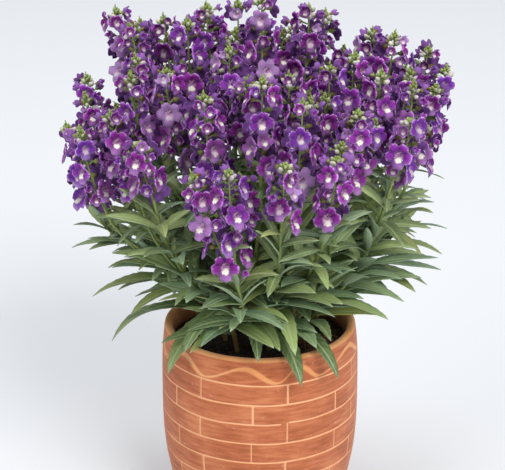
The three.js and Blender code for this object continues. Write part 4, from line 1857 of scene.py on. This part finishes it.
            # painted shade: the spike's stalk is darker toward its foot
            growth.tube(stalk, [mix(*self.spike_radii, i / last) for i in range(last + 1)], 6,
                        tones=(0.5, 0.8), material=FlowerPart.STALK)
            self.add_buds(growth, stalk)
        for shoot in spike.shoots:
            growth.tube(shoot.feed, [self.spike_radii[0]] * len(shoot.feed), 6, tones=(0.4, 0.5),
                        material=FlowerPart.STALK)
            for bloom in shoot.blooms:
                self.add_bloom(growth, bloom, shoot.stalk, self.open_blooms)
        for bloom in spike.blooms:
            self.add_bloom(growth, bloom, spike.stalk, self.open_blooms)
        for bloom in spike.late_blooms:
            line = min(spike.stalks, key=lambda line: (nearest_on(line, bloom.root)[0] - bloom.root).length)
            self.add_bloom(growth, bloom, line, self.cupped_blooms)
        for bud in spike.buds:
            root, place = nearest_on(spike.stalk, bud.root)
            reach = (bud.tip - root).length
            along = (bud.tip - root) / reach
            stalk, length = (reach * share for share in self.bud_shares)
            self.add_bud(growth, root, along, stalk, length, place ** 6 * 0.6)
        return make_piece(f"flower_{spike.name}", growth.mesh, colours, spike.name)

    def add_bloom(self, growth: Growth, bloom: BloomSeat, stalk: Sequence[Vector],
                  models: Sequence[bpy.types.Mesh]) -> None:
        """Adds a bloom with its stalk and bract.

        Args:
            growth: the mesh that it joins.
            bloom: its seat.
            stalk: the spike's middle line.
            models: the variants to choose from.
        """
        tone, age = self.draw.random(), self.draw.random()
        roll = Matrix.Rotation(math.radians(self.draw.gauss(0, self.bloom_roll)), 4, "Z")
        nods = [math.radians(self.draw.uniform(-1, 1) * self.bloom_nod) for _ in "xy"]
        nod = Matrix.Rotation(nods[0], 3, bloom.side) @ Matrix.Rotation(nods[1], 3, bloom.up)
        out = nod @ bloom.out
        place = seat_matrix(bloom.face, nod @ bloom.up, nod @ bloom.side, out, bloom.size)
        growth.add(self.draw.choice(models), place @ roll, tone, age)
        root, _ = nearest_on(stalk, bloom.root)
        back = bloom.face - out * self.calyx_depth * bloom.size
        away = Vector((back.x - root.x, back.y - root.y, 0)).normalized()
        path = bezier(root, root + away * 1.8 + UP * 1.2, back - out * 1.6, back + out * 0.5, 3)
        growth.tube(path, [self.pedicel_radius] * len(path), 4, tones=(0.7, 0.7), material=FlowerPart.STALK)
        self.add_bract(growth, root, away, self.draw.uniform(*self.bract_lengths))

    def add_bract(self, growth: Growth, root: Vector, away: Vector, length: float) -> None:
        """Adds a small bract.

        Args:
            growth: the mesh that it joins.
            root: where it grows on the stalk.
            away: the level direction that it points to.
            length: its length.
        """
        along = (away + UP * self.draw.uniform(0.2, 0.7)).normalized()
        side = UP.cross(away).normalized()
        over = along.cross(side)
        place = seat_matrix(root + away * 0.4, along, side, over, length)
        growth.add(self.bract, place @ Matrix.Diagonal(self.bract_shape), self.draw.uniform(0.0, 1.0))

    def add_bud(self, growth: Growth, root: Vector, along: Vector, stalk: float, length: float,
                young: float) -> None:
        """Adds one bud on its stalk.

        Args:
            growth: the mesh that it joins.
            root: where it grows.
            along: the direction that it points to.
            stalk: the length of its stalk.
            length: its own length.
            young: 0 for one that is about to open, 1 for a young green one.
        """
        start = root + along * stalk
        growth.tube([root, start + along * 0.4], [self.bud_stalk_radius] * 2, 4, tones=(0.8, 0.8),
                    material=FlowerPart.STALK)
        side, front = across(along, UP if abs(along.z) < 0.9 else Vector((1, 0, 0)))
        place = seat_matrix(start, side, front, along, length) @ Matrix.Diagonal(self.bud_shape)
        growth.add(self.bud, place, self.draw.random(), young)

    def add_buds(self, growth: Growth, stalk: Sequence[Vector]) -> None:
        """Adds the buds that follow the blooms up to the tip, smaller and greener toward it.

        Args:
            growth: the mesh that they join.
            stalk: the spike's middle line.
        """
        turn = self.draw.uniform(0, math.tau)
        for i in range(self.bud_count):
            share = i / (self.bud_count - 1)
            place = mix(self.bud_from, self.bud_to, share ** 0.9) * (len(stalk) - 1)
            root = on_path(stalk, place)
            away = heading(turn + GOLDEN_TURN * i)
            along = (away + UP * mix(0.5, 2.4, share)).normalized()
            length = mix(5.8, 2.2, share ** 0.7) * self.draw.uniform(0.8, 1.15)
            self.add_bud(growth, root, along, mix(3.0, 0.8, share), length, share)
            if i % 2:
                self.add_bract(growth, root, away, mix(4.0, 2.2, share))


# Finishes


def outlet(source: bpy.types.Node | bpy.types.NodeSocket) -> bpy.types.NodeSocket:
    """Finds the output to link from.

    Args:
        source: a node, or one of its outputs.

    Returns:
        The given output, or the first one that the node has in use.
    """
    if isinstance(source, bpy.types.NodeSocket):
        return source
    return next(output for output in source.outputs if output.enabled)


def add_node(tree: bpy.types.NodeTree, kind: str, values: dict | None = None) -> bpy.types.Node:
    """Adds a shader node with its settings and links.

    Args:
        tree: the material's node tree.
        kind: the node's type, without the ShaderNode before it.
        values: for a property, or an input's name or number, its value, its hex colour, or the node or
            output that feeds it. The "stops" of a ramp are places and hex colours.

    Returns:
        The node.
    """
    node = tree.nodes.new(f"ShaderNode{kind}")
    for name, value in (values or {}).items():
        if name == "stops":
            stops = node.color_ramp.elements
            while len(stops) < len(value):
                stops.new(0.5)
            for stop, (place, colour) in zip(stops, value):
                stop.position, stop.color = place, srgb(colour)
        elif isinstance(name, str) and hasattr(node, name):
            setattr(node, name, value)
        elif isinstance(value, (bpy.types.Node, bpy.types.NodeSocket)):
            tree.links.new(outlet(value), node.inputs[name])
        else:
            node.inputs[name].default_value = srgb(value) if isinstance(value, str) else value
    return node


def new_material(name: str) -> tuple[bpy.types.Material, NodeAdder]:
    """Starts an empty node material.

    Args:
        name: its name.

    Returns:
        The material, and what adds a node to it.
    """
    material = bpy.data.materials.new(name)
    material.use_nodes = True
    material.node_tree.nodes.clear()
    return material, partial(add_node, material.node_tree)


def finish_with(add: NodeAdder, values: dict) -> None:
    """Ends a material with its Principled shader, which has the given values and links."""
    add("OutputMaterial", {"Surface": add("BsdfPrincipled", values)})


@dataclass(frozen=True)
class FiredClay:
    """Low-fired red clay, turned on a wheel, with an iron slip that is carved through to paler clay."""

    slip: tuple[str, str, str] = ("a25630", "bb6942", "cf8055")
    clay: tuple[str, str] = ("dd9459", "ecad78")
    line: str = "f3b98e"
    scuff: str = "dfae93"
    grit: float = 0.9
    streak: float = 2.2
    scuff_width: float = 5.0

    def build(self) -> bpy.types.Material:
        """Builds the material.

        Returns:
            The material.
        """
        material, add = new_material("fired_clay_with_carved_slip")
        place = add("TexCoord").outputs["Object"]
        # turning leaves fine level streaks a couple of millimetres apart
        level = add("Mapping", {"Vector": place, "Scale": (0.12, 0.12, 1)})
        streaks = add("TexNoise", {"Vector": level, "Scale": 1 / (self.streak * MM), "Detail": 4})
        # the slip lies thicker and thinner in clouds some centimetres wide
        clouds = add("TexNoise", {"Vector": place, "Scale": 34, "Detail": 5, "Roughness": 0.6})
        both = add("Mix", {0: 0.55, 2: clouds, 3: streaks})
        slip = add("ValToRGB", {"Fac": both, "stops": [*zip((0.36, 0.5, 0.64), self.slip)]})
        # handling rubs small pale spots into the slip
        rubs = add("TexNoise", {"Vector": place, "Scale": 1 / (self.scuff_width * MM), "Detail": 3})
        rubbed = add("MapRange", {"Value": rubs, "From Min": 0.66, "From Max": 0.8, "To Max": 0.7})
        worn = add("Mix", {"data_type": "RGBA", 0: rubbed, 6: slip, 7: self.scuff})
        clay = add("ValToRGB", {"Fac": clouds, "stops": [*zip((0.38, 0.62), self.clay)]})
        bare = add("Attribute", {"attribute_name": "bare"}).outputs["Fac"]
        body = add("Mix", {"data_type": "RGBA", 0: bare, 6: worn, 7: clay})
        # the narrow lines are cut deepest and show the palest clay
        cut = add("Attribute", {"attribute_name": "cut"}).outputs["Fac"]
        lined = add("MapRange", {"Value": cut, "From Min": 0.5, "From Max": 0.9, "To Max": 0.85})
        colour = add("Mix", {"data_type": "RGBA", 0: lined, 6: body, 7: self.line})
        # grit of half a millimetre, drawn near one millimetre so that it shows
        grit = add("TexNoise", {"Vector": place, "Scale": 1 / (self.grit * MM), "Detail": 3})
        relief = add("Math", {"operation": "ADD", 0: grit, 1: streaks})
        bump = add("Bump", {"Height": relief, "Strength": 0.35, "Distance": 0.3 * MM})
        dry = add("MapRange", {"Value": grit, "To Min": 0.68, "To Max": 0.9})
        # clay dust lightens the pot where it is seen at a slant
        finish_with(add, {
            "Base Color": colour, "Roughness": dry, "Normal": bump, "IOR": 1.5, "Specular IOR Level": 0.35,
            "Sheen Weight": 0.22, "Sheen Roughness": 0.5, "Sheen Tint": "f6e4da"})
        return material


@dataclass(frozen=True)
class MoistPeat:
    """Moist peat with bark: nearly black crumbs with a few paler ones."""

    shades: tuple[str, str, str] = ("150e0b", "2a1d18", "5c4234")
    crumb: float = 3.0

    def build(self) -> bpy.types.Material:
        """Builds the material.

        Returns:
            The material.
        """
        material, add = new_material("moist_peat_and_bark")
        crumbs = add("TexNoise", {
            "Vector": add("TexCoord").outputs["Object"],
            "Scale": 1 / (self.crumb * MM), "Detail": 5, "Roughness": 0.7})
        colour = add("ValToRGB", {"Fac": crumbs, "stops": [*zip((0.4, 0.56, 0.72), self.shades)]})
        bump = add("Bump", {"Height": crumbs, "Strength": 0.8, "Distance": 1 * MM})
        finish_with(add, {"Base Color": colour, "Normal": bump, "Roughness": 0.88})
        return material


@dataclass(frozen=True)
class CoirFibre:
    """Coconut fibre: dry reddish-brown hairs, some paler than others."""

    dark: str = "4b2a20"
    light: str = "9a6a50"

    def build(self) -> bpy.types.Material:
        """Builds the material.

        Returns:
            The material.
        """
        material, add = new_material("dry_coir_fibre")
        tone = add("Attribute", {"attribute_name": "tone"}).outputs["Fac"]
        # dirt clings to the fibres in spots of two millimetres
        dirt = add("TexNoise", {
            "Vector": add("TexCoord").outputs["Object"], "Scale": 1 / (2 * MM), "Detail": 2})
        shade = add("Math", {"operation": "MULTIPLY", 0: tone, 1: dirt})
        colour = add("Mix", {"data_type": "RGBA", 0: shade, 6: self.dark, 7: self.light})
        finish_with(add, {"Base Color": colour, "Roughness": 0.7})
        return material


@dataclass(frozen=True)
class LeafSkin:
    """A leaf's wax-coated skin: green between paler veins, some leaves tinted blue-grey as a painted sheen,
    some yellow with age.
    """

    name: str = "waxy_leaf_top"
    dark: str = "2f4b1e"
    light: str = "b1c47a"
    # the blue-grey of the painted sheen
    blue: str = "83a286"
    vein: str = "c4d2a4"
    old: str = "a5a852"
    vein_strength: float = 0.5
    roughness: float = 0.42
    coat: float = 0.3

    def build(self) -> bpy.types.Material:
        """Builds the material.

        Returns:
            The material.
        """
        material, add = new_material(self.name)
        place = add("TexCoord")
        tone, age = (add("Attribute", {"attribute_name": name}).outputs["Fac"]
                     for name in ("tone", "age"))
        # cells and dust show as clouds of a few millimetres
        mottle = add("TexNoise", {
            "Vector": place.outputs["Object"], "Scale": 1 / (5 * MM), "Detail": 4})
        shade = add("Mix", {0: 0.3, 2: tone, 3: mottle})
        green = add("Mix", {"data_type": "RGBA", 0: shade, 6: self.dark, 7: self.light})
        # painted sheen: the leaves of low age are tinted blue-grey, standing for the pale surround
        # reflected in them
        painted_sheen_share = add("MapRange", {"Value": age, "From Min": 0.45, "From Max": 0.0, "To Max": 0.6})
        with_painted_sheen = add("Mix", {"data_type": "RGBA", 0: painted_sheen_share, 6: green, 7: self.blue})
        aged = add("MapRange", {"Value": age, "From Min": 0.88, "From Max": 1.0, "To Max": 0.75})
        skin = add("Mix", {"data_type": "RGBA", 0: aged, 6: with_painted_sheen, 7: self.old})
        veins = self.veins(add, place)
        strength = add("Math", {"operation": "MULTIPLY", 0: veins, 1: self.vein_strength})
        colour = add("Mix", {"data_type": "RGBA", 0: strength, 6: skin, 7: self.vein})
        bump = add("Bump", {"Height": veins, "Strength": 0.5, "Distance": 0.4 * MM, "invert": True})
        finish_with(add, {
            "Base Color": colour, "Normal": bump, "Roughness": self.roughness, "Specular IOR Level": 0.45,
            "Coat Weight": self.coat, "Coat Roughness": 0.33,
            "Sheen Weight": 0.15, "Sheen Roughness": 0.4, "Sheen Tint": "c4dccf"})
        return material

    def veins(self, add: NodeAdder, place: bpy.types.Node) -> bpy.types.Node:
        """Draws the midrib and the side veins that run forward from it.

        Args:
            add: adds a node to the material.
            place: its texture coordinates.

        Returns:
            The node whose output is 1 on a vein.
        """
        split = add("SeparateXYZ", {0: place.outputs["UV"]})
        off = add("Math", {"operation": "SUBTRACT", 0: split.outputs["X"], 1: 0.5})
        side = add("Math", {"operation": "ABSOLUTE", 0: off})
        midrib = add("MapRange", {"Value": side, "From Min": 0.1, "From Max": 0.03})
        forward = add("Math", {"operation": "MULTIPLY", 0: side, 1: 0.32})
        along = add("Math", {"operation": "SUBTRACT", 0: split.outputs["Y"], 1: forward})
        # nine pairs of side veins on a blade
        repeat = add("Math", {"operation": "PINGPONG", 0: along, 1: 0.055})
        lateral = add("MapRange", {
            "Value": repeat, "From Min": 0.012, "From Max": 0.0, "To Max": 0.6})
        return add("Math", {"operation": "MAXIMUM", 0: midrib, 1: lateral})


@dataclass(frozen=True)
class StalkSkin:
    """A stalk's skin: fresh yellow-green above, darker with painted shade low on the plant, brown and a
    little woody near the soil.
    """

    fresh: str = "97a85e"
    shaded: str = "5e753c"
    woody: str = "7a5a35"
    ridge: float = 1.2

    def build(self) -> bpy.types.Material:
        """Builds the material.

        Returns:
            The material.
        """
        material, add = new_material("fresh_stalk_skin")
        tone, age = (add("Attribute", {"attribute_name": name}).outputs["Fac"]
                     for name in ("tone", "age"))
        # ridges run along the stalk
        stretched = add("Mapping", {
            "Vector": add("TexCoord").outputs["Object"], "Scale": (1, 1, 0.15)})
        ridges = add("TexNoise", {
            "Vector": stretched, "Scale": 1 / (self.ridge * MM), "Detail": 3})
        shade = add("Mix", {0: 0.4, 2: tone, 3: ridges})
        green = add("Mix", {"data_type": "RGBA", 0: shade, 6: self.shaded, 7: self.fresh})
        colour = add("Mix", {"data_type": "RGBA", 0: age, 6: green, 7: self.woody})
        bump = add("Bump", {"Height": ridges, "Strength": 0.4, "Distance": 0.2 * MM})
        finish_with(add, {
            "Base Color": colour, "Normal": bump, "Roughness": 0.55, "Specular IOR Level": 0.4})
        return material


@dataclass(frozen=True)
class PetalFace:
    """A petal's face: velvety magenta-violet, paler below, with a mauve spotted throat and a cream lip,
    painted shade toward the throat and between the lobes, and a painted highlight on the rims.
    """

    deep: str = "46034e"
    bright: str = "b63cbf"
    blue: str = "6a40c2"
    lavender: str = "dab8ee"
    throat: str = "dab0d2"
    lip: str = "f7f2e0"
    spot: str = "4c123f"
    spot_width: float = 1.2
    vein_count: float = 9.0

    def build(self) -> bpy.types.Material:
        """Builds the material.

        Returns:
            The material.
        """
        material, add = new_material("velvety_petal_face")
        span = BloomModel().map_span
        # millimetres on the face from its middle: x to the side, y up
        face = add("Mapping", {
            "Vector": add("TexCoord").outputs["UV"],
            "Location": (-span / 2, -span / 2, 0), "Scale": (span, span, 1)})
        split = add("SeparateXYZ", {0: face})
        tone, age, edge, lobe = (add("Attribute", {"attribute_name": name}).outputs["Fac"]
                                 for name in ("tone", "age", "edge", "lobe"))
        veins = self.veins(add, face, split, tone)
        # painted shade: the petals darken toward the throat
        outward = add("MapRange", {"Value": edge, "From Max": 0.8, "To Min": 0.35})
        shade = add("Mix", {0: 0.5, 2: tone, 3: veins})
        throat_shaded = add("Math", {"operation": "MULTIPLY", 0: shade, 1: outward})
        # and painted shade makes them darkest in the seams between the lobes
        painted_seam_shade = add("MapRange", {"Value": lobe, "From Max": 0.9, "To Min": 0.15})
        lit = add("Math", {"operation": "MULTIPLY", 0: throat_shaded, 1: painted_seam_shade})
        violet = add("Mix", {"data_type": "RGBA", 0: lit, 6: self.deep, 7: self.bright})
        # some blooms are bluer than others
        bluer = add("MapRange", {"Value": age, "From Min": 0.35, "From Max": 0.0, "To Max": 0.42})
        hued = add("Mix", {"data_type": "RGBA", 0: bluer, 6: violet, 7: self.blue})
        # lavender on the lower lobe and on faded blooms, and a painted highlight on the rims
        pale = self.paleness(add, split, age, edge, veins)
        petal = add("Mix", {"data_type": "RGBA", 0: pale, 6: hued, 7: self.lavender})
        # a mauve oval with a ragged edge surrounds the throat and the lip
        oval = self.oval(add, face, (0, -0.9), (2.9, 3.6))
        ragged = add("Math", {"operation": "MULTIPLY_ADD", 0: veins, 1: 0.7, 2: oval})
        mauve = add("MapRange", {"Value": ragged, "From Min": 1.5, "From Max": 1.0, "To Max": 0.6})
        haloed = add("Mix", {"data_type": "RGBA", 0: mauve, 6: petal, 7: self.throat})
        spots = self.spots(add, face)
        spotted = add("Mix", {"data_type": "RGBA", 0: spots, 6: haloed, 7: self.spot})
        # the swollen lip is the palest, less so on some blooms
        lip = self.oval(add, face, (0, -3.2), (2.5, 2.0))
        frayed = add("Math", {"operation": "MULTIPLY_ADD", 0: veins, 1: 0.55, 2: lip})
        whole = add("MapRange", {"Value": frayed, "From Min": 1.35, "From Max": 0.95})
        stained = add("MapRange", {"Value": tone, "From Min": 0.1, "From Max": 0.6, "To Min": 0.3})
        lip_share = add("Math", {"operation": "MULTIPLY", 0: whole, 1: stained})
        colour = add("Mix", {"data_type": "RGBA", 0: lip_share, 6: spotted, 7: self.lip})
        bump = add("Bump", {"Height": veins, "Strength": 0.5, "Distance": 0.3 * MM})
        finish_with(add, {
            "Base Color": colour, "Normal": bump, "Roughness": 0.55, "Specular IOR Level": 0.18})
        return material

    def veins(self, add: NodeAdder, face: bpy.types.Node, split: bpy.types.Node,
              tone: bpy.types.NodeSocket) -> bpy.types.Node:
        """Draws fine veins that fan out from the throat, other ones on each bloom.

        Args:
            add: adds a node to the material.
            face: the place on the face.
            split: its separate coordinates.
            tone: the bloom's own tone.

        Returns:
            The node whose output goes from 0 to 1 across the veins.
        """
        turn = add("Math", {
            "operation": "ARCTAN2", 0: split.outputs["X"], 1: split.outputs["Y"]})
        out = add("VectorMath", {"operation": "LENGTH", 0: face})
        fan = add("CombineXYZ", {0: turn, 1: out, 2: tone})
        scaled = add("Mapping", {"Vector": fan, "Scale": (self.vein_count, 0.3, 40)})
        fibres = add("TexNoise", {"Vector": scaled, "Scale": 1.0, "Detail": 2})
        return add("MapRange", {"Value": fibres, "From Min": 0.32, "From Max": 0.68})

    def paleness(self, add: NodeAdder, split: bpy.types.Node, age: bpy.types.NodeSocket,
                 edge: bpy.types.NodeSocket, veins: bpy.types.Node) -> bpy.types.Node:
        """Finds where the petals are lavender: the lower lobe, a painted highlight on the thin edges and
        some whole blooms.

        Args:
            add: adds a node to the material.
            split: the separate coordinates on the face.
            age: the bloom's own age.
            edge: how near the rim is.
            veins: the veins, which break up the painted highlight on the rim.

        Returns:
            The node whose output is the share of lavender.
        """
        low = add("MapRange", {
            "Value": split.outputs["Y"], "From Min": -2.0, "From Max": -10.0, "To Max": 0.45})
        # painted highlight: the rims are lightened toward lavender, broken up by the veins
        rim = add("MapRange", {"Value": edge, "From Min": 0.7, "From Max": 0.95, "To Max": 1.0})
        rim_highlight = add("Math", {"operation": "MULTIPLY", 0: rim, 1: veins})
        faded = add("MapRange", {"Value": age, "From Min": 0.8, "From Max": 1.0, "To Max": 0.55})
        most = add("Math", {"operation": "MAXIMUM", 0: low, 1: rim_highlight})
        return add("Math", {"operation": "MAXIMUM", 0: most, 1: faded})

    def oval(self, add: NodeAdder, face: bpy.types.Node, centre: tuple[float, float],
             half: tuple[float, float]) -> bpy.types.Node:
        """Draws an oval on the face.

        Args:
            add: adds a node to the material.
            face: the place on the face.
            centre: the oval's middle in millimetres.
            half: its half sizes in millimetres.

        Returns:
            The node whose value is 0 in the oval's middle and 1 on its line.
        """
        centred = add("Mapping", {
            "Vector": face, "Location": (-centre[0] / half[0], -centre[1] / half[1], 0),
            "Scale": (1 / half[0], 1 / half[1], 0)})
        return add("VectorMath", {"operation": "LENGTH", 0: centred})

    def spots(self, add: NodeAdder, face: bpy.types.Node) -> bpy.types.Node:
        """Draws the dark spots in the upper half of the throat, twice as wide so that they show.

        Args:
            add: adds a node to the material.
            face: the place on the face.

        Returns:
            The node whose output is 1 on a spot.
        """
        cells = add("TexVoronoi", {"Vector": face, "Scale": 1 / self.spot_width})
        dots = add("MapRange", {"Value": cells, "From Min": 0.64, "From Max": 0.42})
        upper = self.oval(add, face, (0, 0.9), (2.7, 2.3))
        inside = add("MapRange", {"Value": upper, "From Min": 1.1, "From Max": 0.7, "To Max": 0.9})
        return add("Math", {"operation": "MULTIPLY", 0: dots, 1: inside})


@dataclass(frozen=True)
class PetalBack:
    """A petal's back: duller and paler than its face, with violet veins."""

    pale: str = "9c66bc"
    deep: str = "501866"

    def build(self) -> bpy.types.Material:
        """Builds the material.

        Returns:
            The material.
        """
        material, add = new_material("pale_petal_back")
        tone = add("Attribute", {"attribute_name": "tone"}).outputs["Fac"]
        # veins about half a millimetre apart
        veins = add("TexNoise", {
            "Vector": add("TexCoord").outputs["UV"], "Scale": 30, "Detail": 3})
        shade = add("Mix", {0: 0.5, 2: tone, 3: veins})
        colour = add("Mix", {"data_type": "RGBA", 0: shade, 6: self.deep, 7: self.pale})
        finish_with(add, {
            "Base Color": colour, "Roughness": 0.6, "Specular IOR Level": 0.3, "Sheen Weight": 0.1})
        return material


@dataclass(frozen=True)
class BudSkin:
    """A closed bud: creamy white with a lavender tip while it is near to opening, green while young."""

    tip: str = "e3dcd2"
    foot: str = "c9d494"
    green: str = "8ba053"
    flush: str = "9a6cb4"

    def build(self) -> bpy.types.Material:
        """Builds the material.

        Returns:
            The material.
        """
        material, add = new_material("closed_bud_skin")
        tone, age, tip = (add("Attribute", {"attribute_name": name}).outputs["Fac"]
                          for name in ("tone", "age", "edge"))
        ripe = add("Mix", {"data_type": "RGBA", 0: tip, 6: self.foot, 7: self.tip})
        # some buds are flushed with violet in small clouds
        clouds = add("TexNoise", {
            "Vector": add("TexCoord").outputs["Object"], "Scale": 1 / (3 * MM), "Detail": 3})
        cloudy = add("Math", {"operation": "MULTIPLY", 0: clouds, 1: tone})
        flushed = add("Mix", {"data_type": "RGBA", 0: cloudy, 6: ripe, 7: self.flush})
        young = add("MapRange", {"Value": age, "From Min": 0.05, "From Max": 0.5})
        colour = add("Mix", {"data_type": "RGBA", 0: young, 6: flushed, 7: self.green})
        finish_with(add, {"Base Color": colour, "Roughness": 0.5, "Specular IOR Level": 0.35})
        return material


# The studio


@dataclass
class Studio:
    """A pale floor, soft lights and the camera at the photograph's angle, in metres."""

    floor_size: float = 14.0
    floor_shades: tuple[str, str] = ("e2e5e9", "e6e8eb")
    surround: str = "f0f2f6"
    surround_strength: float = 0.38
    # name, place, side and power in watts
    lights: tuple[tuple[str, tuple[float, float, float], float, float], ...] = (
        ("key_light", (1.6, -3.2, 3.4), 1.9, 133), ("fill_light", (-2.6, -2.2, 2.2), 2.2, 44),
        ("top_light", (-0.3, 0.9, 3.4), 2.4, 61), ("side_light", (2.7, -0.8, 0.6), 1.0, 15))
    aim: tuple[float, float, float] = (0, 0, 0.2)
    pitch: float = 22.0
    lens: float = 144.57
    camera_place: tuple[float, float, float] = (-0.0058, -1.421, 0.804)

    def build(self) -> None:
        """Builds the floor, the lights and the camera."""
        self.build_floor()
        self.build_lights()
        self.build_camera()

    def build_floor(self) -> None:
        """Lays the floor."""
        mesh = bmesh.new()
        bmesh.ops.create_grid(mesh, x_segments=2, y_segments=2, size=self.floor_size / 2)
        data = bpy.data.meshes.new("studio_floor")
        mesh.to_mesh(data)
        mesh.free()
        floor = bpy.data.objects.new("studio_floor", data)
        bpy.context.scene.collection.objects.link(floor)
        material, add = new_material("matt_paper_floor")
        cloud = add("TexNoise", {
            "Vector": add("TexCoord").outputs["Object"], "Scale": 0.4, "Detail": 1})
        colour = add("Mix", {
            "data_type": "RGBA", 0: cloud, 6: self.floor_shades[0], 7: self.floor_shades[1]})
        finish_with(add, {"Base Color": colour, "Roughness": 0.9, "Specular IOR Level": 0.1})
        data.materials.append(material)
        floor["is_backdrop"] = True

    def build_lights(self) -> None:
        """Sets a pale surround and large soft square lights that look at the plant."""
        world = bpy.data.worlds.new("pale_surround")
        world.use_nodes = True
        ground = world.node_tree.nodes["Background"]
        ground.inputs["Color"].default_value = srgb(self.surround)
        ground.inputs["Strength"].default_value = self.surround_strength
        bpy.context.scene.world = world
        for name, place, size, power in self.lights:
            data = bpy.data.lights.new(name, "AREA")
            data.size = size
            data.energy = power
            light = bpy.data.objects.new(name, data)
            light.location = place
            light.rotation_euler = (Vector(place) - Vector(self.aim)).to_track_quat("Z", "Y").to_euler()
            bpy.context.scene.collection.objects.link(light)

    def build_camera(self) -> None:
        """Sets the camera where the photograph was taken from."""
        data = bpy.data.cameras.new("photo_camera")
        data.sensor_width = 36
        data.lens = self.lens
        data.clip_end = 50
        camera = bpy.data.objects.new("photo_camera", data)
        camera.location = self.camera_place
        camera.rotation_euler = (math.radians(90 - self.pitch), 0, 0)
        bpy.context.scene.collection.objects.link(camera)
        bpy.context.scene.camera = camera
        bpy.context.scene.view_settings.view_transform = "Standard"


def main() -> None:
    """Builds the pot, the soil, the plant and the studio, and works out the sizes."""
    logging.basicConfig(level=logging.INFO, format="%(message)s")
    ClayPot().build(FiredClay().build())
    PottingSoil().build(MoistPeat().build(), CoirFibre().build())
    stalk = StalkSkin().build()
    greens = [stalk, LeafSkin().build(), LeafSkin(
        name="matt_leaf_underside", dark="6f8660", light="a4b594", vein="b7c4a4", vein_strength=0.4,
        roughness=0.6, coat=0.0).build()]
    colours = [stalk, PetalFace().build(), PetalBack().build(), BudSkin().build()]
    plant = Angelonia()
    for stem in plant.stems:
        plant.build_stem(stem, greens)
    for spike in plant.spikes:
        plant.build_spike(spike, colours)
    Studio().build()
    sizes = {"cad": CAD_BOX, "visual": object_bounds()}
    {name: [list(corner) for corner in box] for name, box in sizes.items()}


if __name__ == "__main__":
    main()
